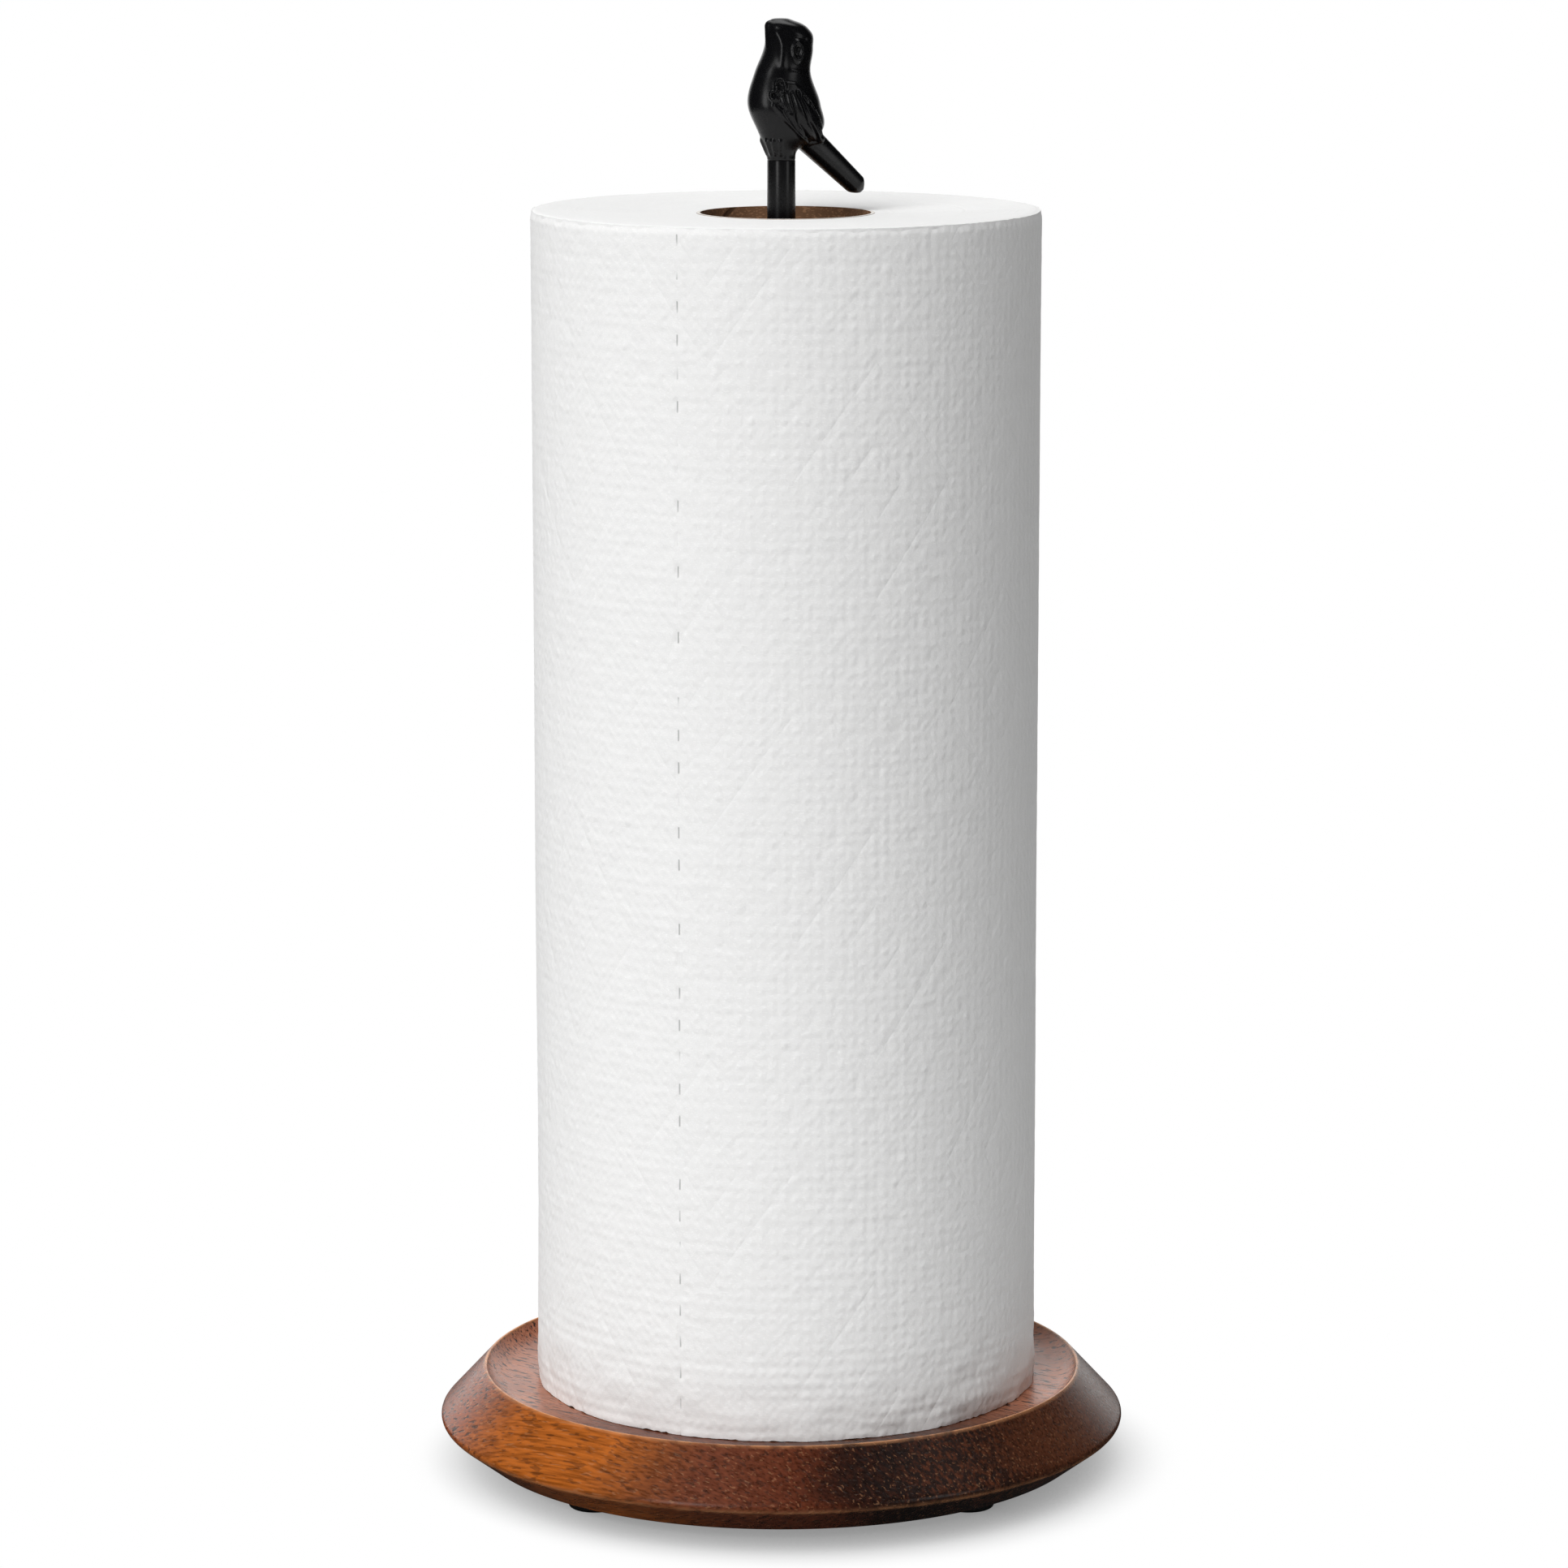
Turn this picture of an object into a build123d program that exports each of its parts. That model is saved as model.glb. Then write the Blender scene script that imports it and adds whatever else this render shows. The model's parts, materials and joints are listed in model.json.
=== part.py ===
"""Counter-top paper towel holder.

A turned wooden base on four rubber feet carries a slim pole with a cast bird on top. A paper roll
stands in the dish of the base, round the pole. The origin is on the base's axis, in the plane of
the feet's undersides. +Z is up, the bird looks towards -X and a little towards -Y.
Lengths are in millimetres, angles in degrees.
"""

from build123d import *
import os
from math import cos, hypot, radians, sin, sqrt

# Kitchen roll
ROLL_HEIGHT = 279.4
ROLL_RADIUS = 60.2
ROLL_SHIFT_X = 1.0
ROLL_SHIFT_Y = 3.5
ROLL_SEAT_GAP = 0.3
LOOSE_END_STEP = 0.5
LOOSE_END_ANGLE = 149.0
CORE_BORE_RADIUS = 20.0
CORE_WALL = 0.8
CORE_FIT = 0.05

# Turned base, radii as steps outwards from the roll, heights above the underside
SEAT_MARGIN = 1.05
DISH_RUN = 6.3
BEVEL_RUN = 11.5
UNDERCUT_RUN = 9.7
SEAT_THICKNESS = 15.7
RIM_RISE = 4.0
EDGE_RISE = 7.3
BEVEL_CROWN = 0.35
EDGE_ROUND = 1.5
RIM_ROUND = 0.4
UNDERSIDE_ROUND = 0.8

# Rubber feet and their screws, named as seen from -Y, anticlockwise from the start angle
FOOT_NAMES = ("foot_back_right", "foot_back_left", "foot_front_left", "foot_front_right")
FOOT_START_ANGLE = 45.0
FOOT_HEIGHT = 3.5
FOOT_RADIUS = 6.25
FOOT_ROUND = 0.9
FOOT_INSET = 11.3
FOOT_WEB = 1.3
FOOT_SCREW_RADIUS = 1.45
FOOT_SCREW_GRIP = 8.0
FOOT_SCREW_POINT = 2.0
FOOT_HEAD_RADIUS = 2.5
FOOT_HEAD_HEIGHT = 1.6
FOOT_HEAD_ROUND = 0.5
HEAD_SPACE = 0.5
SCREW_FIT = 0.05
PILOT_SPARE = 0.5

# Pole and its fastening
POLE_RADIUS = 3.3
POLE_EDGE = 0.3
POLE_SOCKET_DEPTH = 4.5
POLE_FIT = 0.05
PERCH_RISE = 12.6
POLE_SCREW_RADIUS = 2.0
POLE_SCREW_GRIP = 8.0
POLE_SCREW_HOLE_GAP = 0.25
POLE_HEAD_RADIUS = 4.0
POLE_HEAD_HEIGHT = 2.6
POLE_HEAD_ROUND = 0.9
WASHER_RADIUS = 6.0
WASHER_THICKNESS = 1.0
WASHER_HOLE_GAP = 0.15
LOCK_WASHER_RADIUS = 3.7
LOCK_WASHER_THICKNESS = 0.9
LOCK_WASHER_SLIT = 0.8
HEAD_RECESS = 1.0
WASHER_SPACE = 1.0
THREAD_FIT = 0.05
BORE_SPARE = 1.5
STUD_GRIP = 7.0
STUD_EDGE = 0.4
DRIVE_SLOT = 0.7
DRIVE_REACH = 0.62
DRIVE_DEPTH = 1.0

# Cast bird, heights above the perch, lengths along its back, widths across it
BIRD_TURN = 25.0
CLAW_HEIGHT = 1.6
CLAW_LENGTH = 7.0
CLAW_WIDTH = 7.0
BELLY_HEIGHT = 6.2
BELLY_BACK = 2.2
BELLY_LENGTH = 15.4
BELLY_WIDTH = 11.4
BREAST_HEIGHT = 12.6
BREAST_BACK = 0.7
BREAST_LENGTH = 17.7
BREAST_WIDTH = 13.2
NECK_HEIGHT = 20.3
NECK_BACK = 0.35
NECK_LENGTH = 13.4
NECK_WIDTH = 10.4
CHEEK_HEIGHT = 25.5
CHEEK_BACK = 1.8
CHEEK_LENGTH = 11.7
CHEEK_WIDTH = 10.4
BROW_HEIGHT = 29.6
BROW_BACK = 1.7
BROW_LENGTH = 10.6
BROW_WIDTH = 8.8
CROWN_HEIGHT = 32.5
CROWN_BACK = 0.2
CROWN_LENGTH = 4.0
CROWN_WIDTH = 3.8
BEAK_ROOT_FORWARD = 0.2
BEAK_ROOT_HEIGHT = 28.4
BEAK_ROOT_RADIUS = 3.3
BEAK_TIP_FORWARD = 4.1
BEAK_TIP_HEIGHT = 31.6
BEAK_TIP_RADIUS = 0.8
TAIL_ROOT_BACK = 5.5
TAIL_ROOT_HEIGHT = 5.7
TAIL_ROOT_THICKNESS = 6.4
TAIL_ROOT_WIDTH = 6.6
TAIL_TIP_BACK = 20.9
TAIL_TIP_DROP = 8.0
TAIL_TIP_THICKNESS = 4.6
TAIL_TIP_WIDTH = 5.0
TAIL_TIP_ROUND = 2.2
SHOULDER_FORWARD = 2.6
SHOULDER_OUT = 4.6
SHOULDER_HEIGHT = 17.8
WING_TIP_BACK = 9.4
WING_TIP_OUT = 3.0
WING_TIP_HEIGHT = 3.6
WING_SWELL = 3.2

# Levels and radii that follow
seat_level = FOOT_HEIGHT + SEAT_THICKNESS
rim_level = seat_level + RIM_RISE
edge_level = FOOT_HEIGHT + EDGE_RISE
seat_radius = ROLL_RADIUS + hypot(ROLL_SHIFT_X, ROLL_SHIFT_Y) + SEAT_MARGIN
rim_radius = seat_radius + DISH_RUN
edge_radius = rim_radius + BEVEL_RUN
underside_radius = edge_radius - UNDERCUT_RUN
foot_circle_radius = underside_radius - FOOT_INSET
roll_level = seat_level + ROLL_SEAT_GAP
socket_level = seat_level - POLE_SOCKET_DEPTH
perch_level = roll_level + ROLL_HEIGHT + PERCH_RISE
head_pocket_depth = HEAD_RECESS + POLE_HEAD_HEIGHT + LOCK_WASHER_THICKNESS + WASHER_THICKNESS
washer_level = FOOT_HEIGHT + head_pocket_depth - WASHER_THICKNESS
lock_washer_level = washer_level - LOCK_WASHER_THICKNESS
foot_web_level = FOOT_HEIGHT - FOOT_WEB
core_outer_radius = CORE_BORE_RADIUS + CORE_WALL
roll_plane = Plane(origin=(ROLL_SHIFT_X, ROLL_SHIFT_Y, roll_level))


def cut_cross_drive(head_radius, head_level):
    """Cut a cross-shaped driver recess upwards into a screw head that faces down."""
    reach = 2 * DRIVE_REACH * head_radius
    with Locations((0, 0, head_level)):
        Box(reach, DRIVE_SLOT, 2 * DRIVE_DEPTH, mode=Mode.SUBTRACT)
        Box(DRIVE_SLOT, reach, 2 * DRIVE_DEPTH, mode=Mode.SUBTRACT)


# Turned base: one profile spun about its axis, then bored for the pole and the feet
with BuildPart() as base_disc:
    with BuildSketch(Plane.XZ) as turning_profile:
        with BuildLine():
            Line((0, FOOT_HEIGHT), (underside_radius, FOOT_HEIGHT))
            Line((underside_radius, FOOT_HEIGHT), (edge_radius, edge_level))
            SagittaArc((edge_radius, edge_level), (rim_radius, rim_level), -BEVEL_CROWN)
            TangentArc((seat_radius, seat_level), (rim_radius, rim_level), tangent=(1, 0))
            Line((seat_radius, seat_level), (0, seat_level))
            Line((0, seat_level), (0, FOOT_HEIGHT))
        make_face()
        fillet(turning_profile.vertices().sort_by(Axis.X)[-1], EDGE_ROUND)
        fillet(turning_profile.vertices().sort_by(Axis.Y)[-1], RIM_ROUND)
        fillet(turning_profile.vertices().group_by(Axis.Y)[0].sort_by(Axis.X)[-1], UNDERSIDE_ROUND)
    revolve(axis=Axis.Z)
    with BuildSketch(Plane.XY.offset(seat_level)):
        Circle(POLE_RADIUS + POLE_FIT)
    extrude(amount=-POLE_SOCKET_DEPTH, mode=Mode.SUBTRACT)
    underside = Plane(origin=(0, 0, FOOT_HEIGHT), z_dir=(0, 0, -1))
    with Locations(underside):
        CounterBoreHole(
            radius=POLE_SCREW_RADIUS + POLE_SCREW_HOLE_GAP,
            counter_bore_radius=WASHER_RADIUS + WASHER_SPACE,
            counter_bore_depth=head_pocket_depth,
            depth=SEAT_THICKNESS,
        )
    with BuildSketch(Plane.XY.offset(FOOT_HEIGHT)):
        with PolarLocations(foot_circle_radius, len(FOOT_NAMES), start_angle=FOOT_START_ANGLE):
            Circle(FOOT_SCREW_RADIUS + SCREW_FIT)
    extrude(amount=FOOT_SCREW_GRIP + PILOT_SPARE, mode=Mode.SUBTRACT)
base_disc.part.label = "base_disc"

# Rubber feet: short pads with a pocket for the screw head
feet = []
for foot_index, foot_name in enumerate(FOOT_NAMES):
    foot_angle = radians(FOOT_START_ANGLE + 360 * foot_index / len(FOOT_NAMES))
    foot_place = Plane(
        origin=(foot_circle_radius * cos(foot_angle), foot_circle_radius * sin(foot_angle), 0)
    )
    with BuildPart() as foot:
        with BuildSketch(foot_place):
            Circle(FOOT_RADIUS)
        extrude(amount=FOOT_HEIGHT)
        fillet(foot.edges().group_by(Axis.Z)[0], FOOT_ROUND)
        with BuildSketch(foot_place):
            Circle(FOOT_HEAD_RADIUS + HEAD_SPACE)
        extrude(amount=foot_web_level, mode=Mode.SUBTRACT)
        with BuildSketch(foot_place):
            Circle(FOOT_SCREW_RADIUS + SCREW_FIT)
        extrude(amount=FOOT_HEIGHT, mode=Mode.SUBTRACT)
    foot.part.label = foot_name
    feet.append(foot)

# Foot screws: one pan-head screw, repeated under the four feet
with BuildPart() as foot_screw:
    with BuildSketch(Plane.XZ):
        with BuildLine():
            Polyline(
                (0, foot_web_level - FOOT_HEAD_HEIGHT),
                (FOOT_HEAD_RADIUS, foot_web_level - FOOT_HEAD_HEIGHT),
                (FOOT_HEAD_RADIUS, foot_web_level),
                (FOOT_SCREW_RADIUS, foot_web_level),
                (FOOT_SCREW_RADIUS, FOOT_HEIGHT + FOOT_SCREW_GRIP - FOOT_SCREW_POINT),
                (0, FOOT_HEIGHT + FOOT_SCREW_GRIP),
                close=True,
            )
        make_face()
    revolve(axis=Axis.Z)
    fillet(foot_screw.edges().group_by(Axis.Z)[0], FOOT_HEAD_ROUND)
    cut_cross_drive(FOOT_HEAD_RADIUS, foot_web_level - FOOT_HEAD_HEIGHT)
with BuildPart() as foot_screws:
    with PolarLocations(foot_circle_radius, len(FOOT_NAMES), start_angle=FOOT_START_ANGLE):
        add(foot_screw.part)
foot_screws.part.label = "foot_screws"

# Pole: plain rod, threaded at both ends
with BuildPart() as pole:
    with BuildSketch(Plane.XY.offset(socket_level)):
        Circle(POLE_RADIUS)
    extrude(amount=perch_level - socket_level)
    chamfer(pole.edges().filter_by(GeomType.CIRCLE), POLE_EDGE)
    with BuildSketch(Plane.XY.offset(socket_level)):
        Circle(POLE_SCREW_RADIUS + THREAD_FIT)
    extrude(amount=POLE_SCREW_GRIP + BORE_SPARE, mode=Mode.SUBTRACT)
    with BuildSketch(Plane.XY.offset(perch_level)):
        Circle(POLE_SCREW_RADIUS + THREAD_FIT)
    extrude(amount=-(STUD_GRIP + BORE_SPARE), mode=Mode.SUBTRACT)
pole.part.label = "pole"

# Screw that pulls the pole down into its socket
with BuildPart() as pole_screw:
    with BuildSketch(Plane.XY.offset(lock_washer_level)):
        Circle(POLE_HEAD_RADIUS)
    extrude(amount=-POLE_HEAD_HEIGHT)
    fillet(pole_screw.edges().group_by(Axis.Z)[0], POLE_HEAD_ROUND)
    with BuildSketch(Plane.XY.offset(lock_washer_level)):
        Circle(POLE_SCREW_RADIUS)
    extrude(amount=socket_level + POLE_SCREW_GRIP - lock_washer_level)
    chamfer(pole_screw.edges().group_by(Axis.Z)[-1], STUD_EDGE)
    cut_cross_drive(POLE_HEAD_RADIUS, lock_washer_level - POLE_HEAD_HEIGHT)
pole_screw.part.label = "pole_screw"

# Flat washer against the wood
with BuildPart() as pole_washer:
    with BuildSketch(Plane.XY.offset(washer_level)):
        Circle(WASHER_RADIUS)
        Circle(POLE_SCREW_RADIUS + WASHER_HOLE_GAP, mode=Mode.SUBTRACT)
    extrude(amount=WASHER_THICKNESS)
pole_washer.part.label = "pole_washer"

# Split spring washer between the flat washer and the screw head
with BuildPart() as pole_lock_washer:
    with BuildSketch(Plane.XY.offset(lock_washer_level)):
        Circle(LOCK_WASHER_RADIUS)
        Circle(POLE_SCREW_RADIUS + WASHER_HOLE_GAP, mode=Mode.SUBTRACT)
        Rectangle(
            LOCK_WASHER_RADIUS,
            LOCK_WASHER_SLIT,
            align=(Align.MIN, Align.CENTER),
            mode=Mode.SUBTRACT,
        )
    extrude(amount=LOCK_WASHER_THICKNESS)
pole_lock_washer.part.label = "pole_lock_washer"

# Threaded stud, half in the pole and half in the bird
with BuildPart() as finial_stud:
    with BuildSketch(Plane.XY.offset(perch_level - STUD_GRIP)):
        Circle(POLE_SCREW_RADIUS)
    extrude(amount=2 * STUD_GRIP)
    chamfer(finial_stud.edges().filter_by(GeomType.CIRCLE), STUD_EDGE)
finial_stud.part.label = "finial_stud"

# Directions of the bird: back along its tail, side across it
back = Vector(cos(radians(BIRD_TURN)), sin(radians(BIRD_TURN)), 0)
side = Vector(-sin(radians(BIRD_TURN)), cos(radians(BIRD_TURN)), 0)


def bird_point(along, across, height):
    """Place a point of the bird: along its back, across it and above the perch."""
    return back * along + side * across + Vector(0, 0, perch_level + height)


# Upright sections of the bird from its claws to its crown
BIRD_SECTIONS = [
    (0.0, 0.0, 2 * POLE_RADIUS, 2 * POLE_RADIUS),
    (CLAW_HEIGHT, 0.0, CLAW_LENGTH, CLAW_WIDTH),
    (BELLY_HEIGHT, BELLY_BACK, BELLY_LENGTH, BELLY_WIDTH),
    (BREAST_HEIGHT, BREAST_BACK, BREAST_LENGTH, BREAST_WIDTH),
    (NECK_HEIGHT, NECK_BACK, NECK_LENGTH, NECK_WIDTH),
    (CHEEK_HEIGHT, CHEEK_BACK, CHEEK_LENGTH, CHEEK_WIDTH),
    (BROW_HEIGHT, BROW_BACK, BROW_LENGTH, BROW_WIDTH),
    (CROWN_HEIGHT, CROWN_BACK, CROWN_LENGTH, CROWN_WIDTH),
]
tail_root = bird_point(TAIL_ROOT_BACK, 0, TAIL_ROOT_HEIGHT)
tail_tip = bird_point(TAIL_TIP_BACK, 0, -TAIL_TIP_DROP)
tail = tail_tip - tail_root
TAIL_END_SHARES = (1.0, 0.6, 0.3, 0.1, 0.02)
beak_root = bird_point(-BEAK_ROOT_FORWARD, 0, BEAK_ROOT_HEIGHT)
beak_tip = bird_point(-BEAK_TIP_FORWARD, 0, BEAK_TIP_HEIGHT)

with BuildPart() as finial_bird:
    for height, centre_back, length, width in BIRD_SECTIONS:
        section_plane = Plane(origin=bird_point(centre_back, 0, height), x_dir=back, z_dir=(0, 0, 1))
        with BuildSketch(section_plane):
            Ellipse(length / 2, width / 2)
    loft()
    # Tail, a bar that slants down and back to an end rounded as a quarter ellipse
    with BuildSketch(Plane(origin=tail_root, x_dir=side, z_dir=tail)):
        Ellipse(TAIL_ROOT_WIDTH / 2, TAIL_ROOT_THICKNESS / 2)
    for share in TAIL_END_SHARES:
        swell = sqrt(1 - (1 - share) ** 2)
        end_point = tail_tip - tail.normalized() * (share * TAIL_TIP_ROUND)
        with BuildSketch(Plane(origin=end_point, x_dir=side, z_dir=tail)):
            Ellipse(swell * TAIL_TIP_WIDTH / 2, swell * TAIL_TIP_THICKNESS / 2)
    loft(ruled=True)
    # Beak, short and tipped up
    with BuildSketch(Plane(origin=beak_root, x_dir=side, z_dir=beak_tip - beak_root)):
        Circle(BEAK_ROOT_RADIUS)
    with BuildSketch(Plane(origin=beak_tip, x_dir=side, z_dir=beak_tip - beak_root)):
        Circle(BEAK_TIP_RADIUS)
    loft()
    # Folded wings, two spindles half sunk in the flanks
    for flank in (-1, 1):
        shoulder = bird_point(-SHOULDER_FORWARD, flank * SHOULDER_OUT, SHOULDER_HEIGHT)
        wing_tip = bird_point(WING_TIP_BACK, flank * WING_TIP_OUT, WING_TIP_HEIGHT)
        wing = wing_tip - shoulder
        with BuildSketch(Plane(origin=shoulder, x_dir=wing, z_dir=side)):
            with BuildLine():
                SagittaArc((0, 0), (wing.length, 0), WING_SWELL)
                Line((wing.length, 0), (0, 0))
            make_face()
        revolve(axis=Axis(shoulder, wing))
    with BuildSketch(Plane.XY.offset(perch_level)):
        Circle(POLE_SCREW_RADIUS + THREAD_FIT)
    extrude(amount=STUD_GRIP + BORE_SPARE, mode=Mode.SUBTRACT)
finial_bird.part.label = "finial_bird"

# Cardboard core of the roll
with BuildPart() as roll_core:
    with BuildSketch(roll_plane):
        Circle(core_outer_radius)
        Circle(CORE_BORE_RADIUS, mode=Mode.SUBTRACT)
    extrude(amount=ROLL_HEIGHT)
roll_core.part.label = "roll_core"

# Wound paper: the outer layer winds in by one step in a turn, over a plain roll
with BuildPart() as paper_roll:
    with BuildSketch(roll_plane):
        with BuildLine(Plane.XY.rotated((0, 0, LOOSE_END_ANGLE))):
            CenterArc((LOOSE_END_STEP / 4, 0), ROLL_RADIUS - LOOSE_END_STEP / 4, 0, -180)
            CenterArc((-LOOSE_END_STEP / 4, 0), ROLL_RADIUS - 3 * LOOSE_END_STEP / 4, 180, -180)
            Line((ROLL_RADIUS - LOOSE_END_STEP, 0), (ROLL_RADIUS, 0))
        make_face()
        Circle(core_outer_radius + CORE_FIT, mode=Mode.SUBTRACT)
    extrude(amount=ROLL_HEIGHT)
paper_roll.part.label = "paper_roll"

os.makedirs("parts", exist_ok=True)
PIECES = (
    base_disc,
    foot_screws,
    pole,
    pole_screw,
    pole_washer,
    pole_lock_washer,
    finial_stud,
    finial_bird,
    roll_core,
    paper_roll,
    *feet,
)
for piece in PIECES:
    export_step(piece.part, f"parts/{piece.part.label}.step")
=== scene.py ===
"""Looks of a counter-top paper towel holder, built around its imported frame.

A turned wooden base on rubber feet carries a slim black pole with a cast bird on top. A paper roll
stands round the pole. Lengths are in metres and angles in radians, in the frame's own axes.
"""

import json
from itertools import product
from math import cos, hypot, pi, radians, sin, sqrt

import bpy
import numpy as np
from bpy.props import FloatProperty, FloatVectorProperty, IntProperty, PointerProperty
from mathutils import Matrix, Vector


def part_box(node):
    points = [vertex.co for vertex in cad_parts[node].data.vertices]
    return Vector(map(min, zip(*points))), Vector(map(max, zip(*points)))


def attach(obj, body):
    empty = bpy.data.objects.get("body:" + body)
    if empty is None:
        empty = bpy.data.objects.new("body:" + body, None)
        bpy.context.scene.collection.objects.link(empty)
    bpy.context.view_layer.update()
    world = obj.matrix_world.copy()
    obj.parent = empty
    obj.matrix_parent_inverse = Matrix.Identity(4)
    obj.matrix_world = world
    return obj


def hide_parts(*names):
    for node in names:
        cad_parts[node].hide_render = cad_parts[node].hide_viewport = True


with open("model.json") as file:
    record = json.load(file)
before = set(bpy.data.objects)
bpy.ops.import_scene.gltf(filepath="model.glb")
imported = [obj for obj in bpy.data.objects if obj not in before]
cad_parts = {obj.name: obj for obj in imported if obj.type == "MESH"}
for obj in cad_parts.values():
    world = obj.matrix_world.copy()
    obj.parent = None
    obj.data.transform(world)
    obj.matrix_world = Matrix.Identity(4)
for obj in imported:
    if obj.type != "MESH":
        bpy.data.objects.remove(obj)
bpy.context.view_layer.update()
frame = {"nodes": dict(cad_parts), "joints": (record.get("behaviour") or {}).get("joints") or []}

bl_info = {
    "name": "Paper towel holder",
    "version": (1, 0, 0),
    "blender": (4, 5, 0),
    "location": "View3D > Sidebar > Towel holder",
    "description": "Builds the looks of a paper towel holder around its packed frame",
    "category": "Object",
}

MM = 0.001

# Places read from the frame
joints = {joint["name"]: joint for joint in frame["joints"]}
roll_axis_x, roll_axis_y = joints["roll_spin"]["pos_m"][:2]
base_low, base_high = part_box("base_disc")
roll_low, roll_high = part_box("paper_roll")
pole_low, pole_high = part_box("pole")
core_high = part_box("roll_core")[1]
washer_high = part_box("pole_washer")[1]
roll_radius = max(
    hypot(corner.co.x - roll_axis_x, corner.co.y - roll_axis_y)
    for corner in frame["nodes"]["paper_roll"].data.vertices
)


def length_setting(name, description, default):
    """A length that a user may change."""
    return FloatProperty(
        name=name, description=description, default=default, precision=5, unit="LENGTH", subtype="DISTANCE"
    )


def angle_setting(name, description, default):
    """An angle that a user may change, given here in degrees."""
    return FloatProperty(
        name=name, description=description, default=radians(default), unit="ROTATION", subtype="ANGLE"
    )


def colour_setting(name, description, default):
    """A colour that a user may change."""
    return FloatVectorProperty(
        name=name, description=description, default=default, size=3, min=0, max=1, subtype="COLOR"
    )


def count_setting(name, description, default):
    """A whole number that a user may change."""
    return IntProperty(name=name, description=description, default=default)


def strength_setting(name, description, default):
    """A brightness that a user may change."""
    return FloatProperty(name=name, description=description, default=default)


class RollSettings(bpy.types.PropertyGroup):
    """Sizes and colours of the paper roll."""

    turns: count_setting("Turns", "Layers of paper under the outer sheets", 72)
    layer_gap: length_setting("Layer gap", "Air between two layers of paper", 0.02 * MM)
    loose_end: angle_setting("Loose end", "Where the outermost sheet ends, round the roll", 149)
    step: length_setting("Step", "How far the outer layer winds inwards in a turn", 0.5 * MM)
    sheet_length: length_setting("Sheet length", "Paper between two perforations", 137.7 * MM)
    sheet_thickness: length_setting("Sheet thickness", "Embossed thickness of a sheet", 0.42 * MM)
    cell: length_setting("Cell", "Spacing of the points that shape a sheet", 0.65 * MM)
    press_depth: length_setting("Press depth", "How deep diamonds and dimples are pressed", 0.1 * MM)
    pillow_pitch: length_setting("Pillow pitch", "Spacing of the fine pillows of the paper", 2.6 * MM)
    pillow_rise: length_setting("Pillow rise", "Rise of the fine pillows of the paper", 0.06 * MM)
    pebble_rise: length_setting("Pebble rise", "Rise of the soft pebbles of the paper", 0.225 * MM)
    line_depth: length_setting("Line depth", "Depth of the fine line round a pressed diamond", 0.02 * MM)
    ragged: length_setting("Ragged edge", "How far the cut edges of the sheets wander", 0.42 * MM)
    edge_rise: length_setting("Edge rise", "How far the outer layers stand above the core", 1.0 * MM)
    foot_flare: length_setting("Foot flare", "How far the crumpled foot of a sheet stands out", 0.55 * MM)
    bottom_lift: length_setting("Bottom lift", "Gap below the layers under the outer sheets", 1.0 * MM)
    paper_colour: colour_setting("Paper colour", "Bleached paper", (0.87, 0.87, 0.865))
    card_colour: colour_setting("Card colour", "Brown card of the core", (0.22, 0.118, 0.064))


class BaseSettings(bpy.types.PropertyGroup):
    """Sizes and colours of the turned base."""

    rim_inset: length_setting("Rim inset", "From the widest edge inwards to the rim", 11.5 * MM)
    dish_run: length_setting("Dish run", "From the rim inwards to the flat seat", 6.3 * MM)
    undercut_run: length_setting("Undercut run", "From the widest edge inwards to the underside", 9.7 * MM)
    seat_fall: length_setting("Seat fall", "From the rim down to the flat seat", 4.0 * MM)
    edge_rise: length_setting("Edge rise", "From the underside up to the widest edge", 7.3 * MM)
    edge_round: length_setting("Edge round", "Rounding of the widest edge", 1.5 * MM)
    rim_round: length_setting("Rim round", "Rounding of the rim", 0.4 * MM)
    segments: count_setting("Segments", "Faces round the base", 360)
    grain_turn: angle_setting("Grain turn", "Direction of the fibres, from +X", -40)
    worn_colour: colour_setting("Worn colour", "Bare wood along the worn edges", (0.62, 0.28, 0.12))


class BirdSettings(bpy.types.PropertyGroup):
    """Sizes and colour of the cast bird and its pole."""

    turn: angle_setting("Turn", "Direction of the tail, from +X", 25)
    grain: length_setting("Grain", "Spacing of the points that shape the bird", 0.26 * MM)
    groove_depth: length_setting("Groove depth", "Depth of the feather grooves", 0.42 * MM)
    wing_rise: length_setting("Wing rise", "How far the folded wings stand out", 0.45 * MM)
    metal_colour: colour_setting("Metal colour", "Black satin paint", (0.0035, 0.0035, 0.004))


class StageSettings(bpy.types.PropertyGroup):
    """Camera, light and floor."""

    camera_distance: length_setting("Camera distance", "From the base's axis forwards", 1.3153)
    camera_height: length_setting("Camera height", "Above the floor", 0.3995)
    camera_side: length_setting("Camera side", "To the right of the base's axis", 0.62 * MM)
    camera_pitch: angle_setting("Camera pitch", "Downward tilt of the camera", 10.15)
    lens: FloatProperty(
        name="Lens", description="Focal length", default=129.51, unit="CAMERA", subtype="DISTANCE_CAMERA"
    )
    floor_radius: length_setting("Floor radius", "Size of the pale floor", 40.0)
    key_strength: strength_setting("Key", "Strength of the soft key light", 3.08)
    rim_strength: strength_setting("Rim", "Strength of the light from the left", 0.1)
    panel_glow: strength_setting("Panels", "Brightness of the mirrored panels", 4.0)
    backdrop: strength_setting("Backdrop", "Brightness of the wall behind", 0.56)
    sheen: strength_setting("Sheen", "Brightness of the wall where it is mirrored", 1.5)
    overhead: strength_setting("Overhead", "Brightness of the ceiling", 0.24)
    fill: strength_setting("Fill", "Brightness of the low fill panel", 0.5)


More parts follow.
